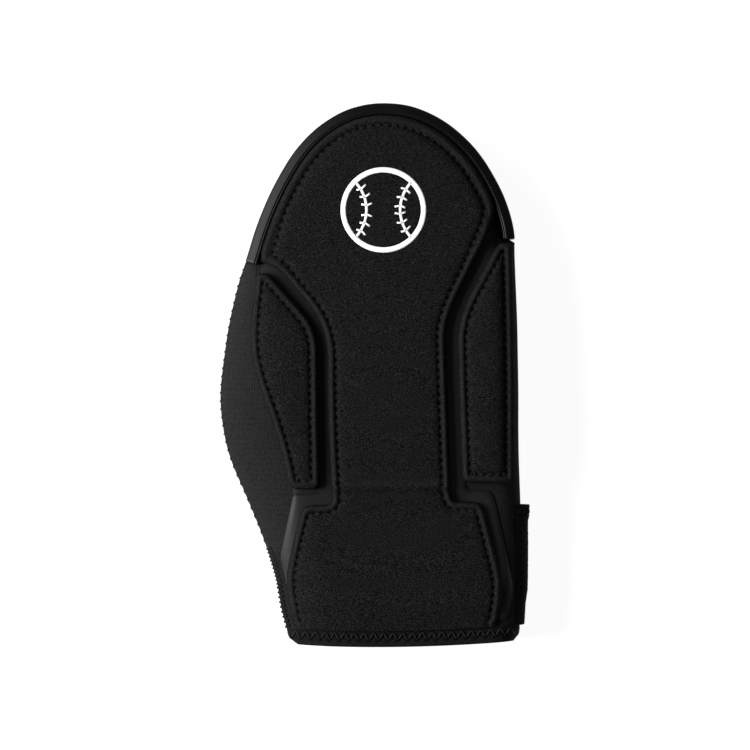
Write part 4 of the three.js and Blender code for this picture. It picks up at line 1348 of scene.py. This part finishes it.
def stitch_tree():
    """A node group that makes each separate line of a mesh one stitch: an arched round thread."""
    tree = bpy.data.node_groups.new("stitches", "GeometryNodeTree")
    inputs = {"Lines": "Geometry", "Thread radius": "Float", "Arch height": "Float"}
    inputs.update({"Points": "Int", "Thread": "Material"})
    for name, kind in inputs.items():
        tree.interface.new_socket(name, in_out="INPUT", socket_type="NodeSocket" + kind)
    tree.interface.new_socket("Stitches", in_out="OUTPUT", socket_type="NodeSocketGeometry")

    def node(kind, inputs=None, **settings):
        """A node of the group, with its inputs linked to sockets or set to values."""
        made = tree.nodes.new(kind)
        for key, value in settings.items():
            setattr(made, key, value)
        for key, value in (inputs or {}).items():
            if isinstance(value, bpy.types.NodeSocket):
                tree.links.new(value, made.inputs[key])
            else:
                made.inputs[key].default_value = value
        return made.outputs[0] if made.outputs else None

    def math_node(operation, first, second):
        return node("ShaderNodeMath", {0: first, 1: second}, operation=operation)

    given = tree.nodes.new("NodeGroupInput").outputs
    curves = node("GeometryNodeMeshToCurve", {"Mesh": given["Lines"]})
    points = node("GeometryNodeResampleCurve", {"Curve": curves, "Count": given["Points"]})
    share = node("GeometryNodeSplineParameter")
    bow = math_node("MULTIPLY", math_node("SUBTRACT", 4.0, math_node("MULTIPLY", share, 4.0)), share)
    offset = node("ShaderNodeCombineXYZ", {"Z": math_node("MULTIPLY", bow, given["Arch height"])})
    arched = node("GeometryNodeSetPosition", {"Geometry": points, "Offset": offset})
    circle = node("GeometryNodeCurvePrimitiveCircle", {"Resolution": 6, "Radius": given["Thread radius"]})
    tube = node("GeometryNodeCurveToMesh", {"Curve": arched, "Profile Curve": circle, "Fill Caps": True})
    smooth = node("GeometryNodeSetShadeSmooth", {"Geometry": tube})
    real = node("GeometryNodeRealizeInstances", {"Geometry": smooth})
    covered = node("GeometryNodeSetMaterial", {"Geometry": real, "Material": given["Thread"]})
    node("NodeGroupOutput", {"Stitches": covered})
    return tree


STITCH_TREE = stitch_tree()


def sew(name, lines, radius, arch, material, points=7):
    """Threads along lines of points, each line one stitch."""
    places = raise_hem(np.concatenate(lines)) * 0.001
    edges = []
    first = 0
    for line in lines:
        edges += [(first + k, first + k + 1) for k in range(len(line) - 1)]
        first += len(line)
    mesh = bpy.data.meshes.new(name + "_lines")
    mesh.from_pydata(places.tolist(), edges, [])
    guide = new_object(name + "_lines", mesh)
    modifier = guide.modifiers.new("stitches", "NODES")
    modifier.node_group = STITCH_TREE
    values = {"Thread radius": radius * 0.001, "Arch height": arch * 0.001}
    values.update({"Points": points, "Thread": material})
    for item in STITCH_TREE.interface.items_tree:
        if item.name in values:
            modifier[item.identifier] = values[item.name]
    bpy.context.view_layer.update()
    graph = bpy.context.evaluated_depsgraph_get()
    made = bpy.data.meshes.new_from_object(guide.evaluated_get(graph), depsgraph=graph)
    made.name = name
    bpy.data.objects.remove(guide)
    threads = new_object(name, made)
    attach(threads, "root")


def panel_stitches(name, panel, shape=no_shape):
    """Lock stitches from one needle hole to the next along the panel's seams."""
    lines = []
    for seam in panel.seams:
        holes = panel.hole_places(seam)
        for start, end in zip(holes[:-1], holes[1:]):
            places = start + (end - start) * np.array([[0.14], [0.5], [0.86]])
            height = panel.height(places[:, 0], places[:, 1]) + shape(places[:, 0], places[:, 1])
            lines.append(np.column_stack([places, height + np.array([-0.25, 0.05, -0.25])]))
    sew(name, lines, THREAD_RADIUS, 0, BLACK_THREAD)


def zigzag_ends():
    """The lower and upper ends of the hem's zig-zag, from the thumb side to the outer side."""
    x = np.arange(*ZIGZAG_X, ZIGZAG_PITCH / 2)
    side = np.where(np.arange(len(x)) % 2 == 0, -1, 1)
    return np.column_stack([x, HEM_Y + HEM_LENGTH - ZIGZAG_REACH - 0.3 + side * ZIGZAG_REACH])


def hem_zigzag():
    """The zig-zag that holds the folded hem down: strokes from the upper to the lower needle holes."""
    ends = zigzag_ends()
    lines = []
    for start, end in zip(ends[:-1], ends[1:]):
        share = np.linspace(0.06 if start[1] > end[1] else 0.2, 0.94, 5)
        places = start + (end - start) * share[:, None]
        height = back_height(places[:, 0], places[:, 1]) + 0.25 * np.sin(places[:, 0] * 2.3) ** 2
        lines.append(np.column_stack([places, height]))
    sew("hem_zigzag_stitches", lines, 0.45, 0.35, GREY_THREAD)


def edge_stitches():
    """Small wrapped stitches along the knit's edge, and thick overlock loops below them down to the hem."""
    fine = np.arange(OVERLOCK_END_Y + 3, y_of(BUMPER_END["left"]) - 4, STITCH_PITCH)
    loops = np.arange(HEM_Y + HEM_LENGTH + OVERLOCK_THICK_LENGTH + 1, OVERLOCK_END_Y, OVERLOCK_PITCH)
    thick_end = HEM_Y + HEM_LENGTH + OVERLOCK_THICK_LENGTH
    thick_loops = np.arange(HEM_Y + HEM_LENGTH + 1, thick_end, OVERLOCK_PITCH * 1.25)
    for name, rows, width, radius, slant, material in (
        ("thumb_edge_stitches", fine, 1.0, 0.42, 1.2, KNIT_THREAD),
        ("thumb_edge_overlock", loops, 2.6, 0.55, 0.9, KNIT_THREAD),
        ("thumb_edge_thick_overlock", thick_loops, 2.4, 0.7, 1.1, DARK_THREAD),
    ):
        lines = []
        for y in rows:
            reach = np.array([1.0, 0.55, 0.2, 0.01]) * width
            along = y + slant * np.array([1.0, 0.6, 0.25, 0.0])
            x = SLEEVE_OUTSIDE.edge(-1, along) + reach
            back, palm = SLEEVE_OUTSIDE.heights(x, along)
            top = np.column_stack([x, along, back + 0.1])
            turn = np.array([[x[-1] - 0.15, y, (back[-1] + palm[-1]) / 2]])
            under = np.column_stack([x[::-1], 2 * y - along[::-1], palm[::-1] - 0.1])
            lines.append(np.concatenate([top, turn, under]))
        sew(name, lines, radius, 0, material, points=14)


# Print on the head of the centre pad: a plain ball with two seams
MARK_SEAM_PLACE = 1.42 * MARK_RADIUS
MARK_SEAM_HALF_ANGLE = 43
MARK_TICK_ANGLES = (-31, -18.6, -6.2, 6.2, 18.6, 31)
MARK_TICK_REACH = 2.7
MARK_TICK_LEAN = 0.9
MARK_TICK_STROKE = 0.9
PRINT_ABOVE = 0.16
PRINT_BELOW = 0.15


def ribbon(name, middle, width):
    """A thin strip of print along a line of points, on the centre pad."""
    side = left_of(np.gradient(middle, axis=0))
    flat = middle[:, None] + side[:, None] * (np.linspace(-0.5, 0.5, 5) * width)[:, None]
    height = CENTRE.height(flat[..., 0].ravel(), flat[..., 1].ravel()).reshape(flat.shape[:2])
    over = np.dstack([flat, height + PRINT_ABOVE])
    under = np.dstack([flat, height - PRINT_BELOW])
    return shell_piece(name, over, under, PRINT)


def arc(centre, radius, start, end):
    """Points about a millimetre apart round a part of a circle."""
    angle = np.radians(np.linspace(start, end, int(abs(end - start) / 57.3 * radius) + 2))
    return centre + radius * np.stack([np.cos(angle), np.sin(angle)], axis=1)


def ball_mark():
    """The generic mark: a ring, and inside it two curved seams with short ticks."""
    centre = np.array(MARK_CENTRE)
    parts = [ribbon("mark_ring", arc(centre, MARK_RADIUS, 0, 360), MARK_STROKE)]
    for side in (-1, 1):
        seam_centre = centre + np.array([side * MARK_SEAM_PLACE, 0])
        facing = 180 if side > 0 else 0
        seam = arc(seam_centre, MARK_RADIUS, facing - MARK_SEAM_HALF_ANGLE, facing + MARK_SEAM_HALF_ANGLE)
        parts.append(ribbon("mark_seam", seam, MARK_STROKE * 0.5))
        for turn in MARK_TICK_ANGLES:
            angle = math.radians(facing + turn)
            outwards = np.array([math.cos(angle), math.sin(angle)])
            lean = np.array([0, math.copysign(MARK_TICK_LEAN, turn)])
            foot = seam_centre + outwards * (MARK_RADIUS + 0.2)
            for reach in (MARK_TICK_REACH, -MARK_TICK_REACH):
                run = (outwards * reach + lean) * np.linspace(0, 1, 4)[:, None]
                parts.append(ribbon("mark_tick", foot + run, MARK_TICK_STROKE))
    join("centre_pad_mark", parts)


def join(name, parts):
    """One object from several."""
    shape = bmesh.new()
    for part in parts:
        shape.from_mesh(part.data)
        bpy.data.objects.remove(part)
    mesh = bpy.data.meshes.new(name)
    shape.to_mesh(mesh)
    shape.free()
    mesh.materials.append(PRINT)
    joined = new_object(name, mesh)
    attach(joined, "root")


PIECES = {
    "hand_sleeve": hand_sleeve(),
    "thumb_gusset": thumb_gusset(),
    "hem_band": hem_band(),
    "fingertip_bumper": fingertip_bumper(),
    "back_film": back_film(),
    "centre_pad": padded_panel("centre_pad_foam", CENTRE, seam_fold),
    "thumb_side_pad": padded_panel("thumb_side_pad_foam", THUMB_SIDE),
    "outer_side_pad": padded_panel("outer_side_pad_foam", OUTER_SIDE),
    "wrist_panel": padded_panel("wrist_panel_foam", WRIST, hem_tuck),
    "wrist_strap": wrist_strap(),
    "palm_pad": palm_pad(),
}

panel_stitches("centre_pad_stitches", CENTRE, seam_fold)
panel_stitches("thumb_side_pad_stitches", THUMB_SIDE)
panel_stitches("outer_side_pad_stitches", OUTER_SIDE)
panel_stitches("wrist_panel_stitches", WRIST, hem_tuck)
hem_zigzag()
edge_stitches()
ball_mark()

# Floor, light and camera


FLOOR_REACH = 3.0
FLOOR_GLOW = {"Emission Color": (1, 1, 1, 1), "Emission Strength": 0.93}
WORLD_STRENGTH = 0.03

# Softboxes: place in metres, size in metres and power in watts
SOFTBOXES = {
    "left_softbox": ((-1.3, 0.05, 1.0), 0.8, 48),
    "upper_left_softbox": ((-1.0, 0.75, 0.85), 0.6, 9),
    "low_softbox": ((-1.6, 0.0, 0.4), 0.6, 12),
    "right_softbox": ((0.9, -0.5, 1.7), 0.9, 5),
}
CAMERA_PLACE = (-0.0002, -0.0002, 3.2)
VIEW_WIDTH = 0.375
VIEW_LEVEL = 0.02


def studio():
    """A pale floor, a faint world and the softboxes."""
    mesh = bpy.data.meshes.new("floor")
    floor_corners = [(x * FLOOR_REACH, y * FLOOR_REACH, 0) for x, y in ((-1, -1), (1, -1), (1, 1), (-1, 1))]
    mesh.from_pydata(floor_corners, [], [(0, 1, 2, 3)])
    mesh.materials.append(Shader("pale_floor").finish((0.2, 0.2, 0.2, 1), 0.95, 0.5, FLOOR_GLOW))
    floor = new_object("floor", mesh)

    world = bpy.data.worlds.new("studio")
    bpy.context.scene.world = world
    world.use_nodes = True
    background = world.node_tree.nodes["Background"].inputs
    background["Color"].default_value = (1, 1, 1, 1)
    background["Strength"].default_value = WORLD_STRENGTH
    for name, (place, size, power) in SOFTBOXES.items():
        softbox(name, place, size, power)


def softbox(name, place, size, power):
    light = bpy.data.lights.new(name, "AREA")
    light.shape = "SQUARE"
    light.size = size
    light.energy = power
    lamp = new_object(name, light)
    lamp.location = place
    lamp.rotation_euler = (-Vector(place)).to_track_quat("-Z", "Y").to_euler()


def camera():
    """The camera looks straight down. Its view is VIEW_WIDTH wide at the level of the mitt."""
    data = bpy.data.cameras.new("camera")
    data.sensor_width = 36
    data.lens = data.sensor_width * (CAMERA_PLACE[2] - VIEW_LEVEL) / VIEW_WIDTH
    data.clip_end = 20
    eye = new_object("camera", data)
    eye.location = CAMERA_PLACE
    bpy.context.scene.camera = eye


studio()
camera()
bpy.context.scene.view_settings.view_transform = "Standard"

for node, piece in PIECES.items():
    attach(piece, "root")
    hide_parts(node)
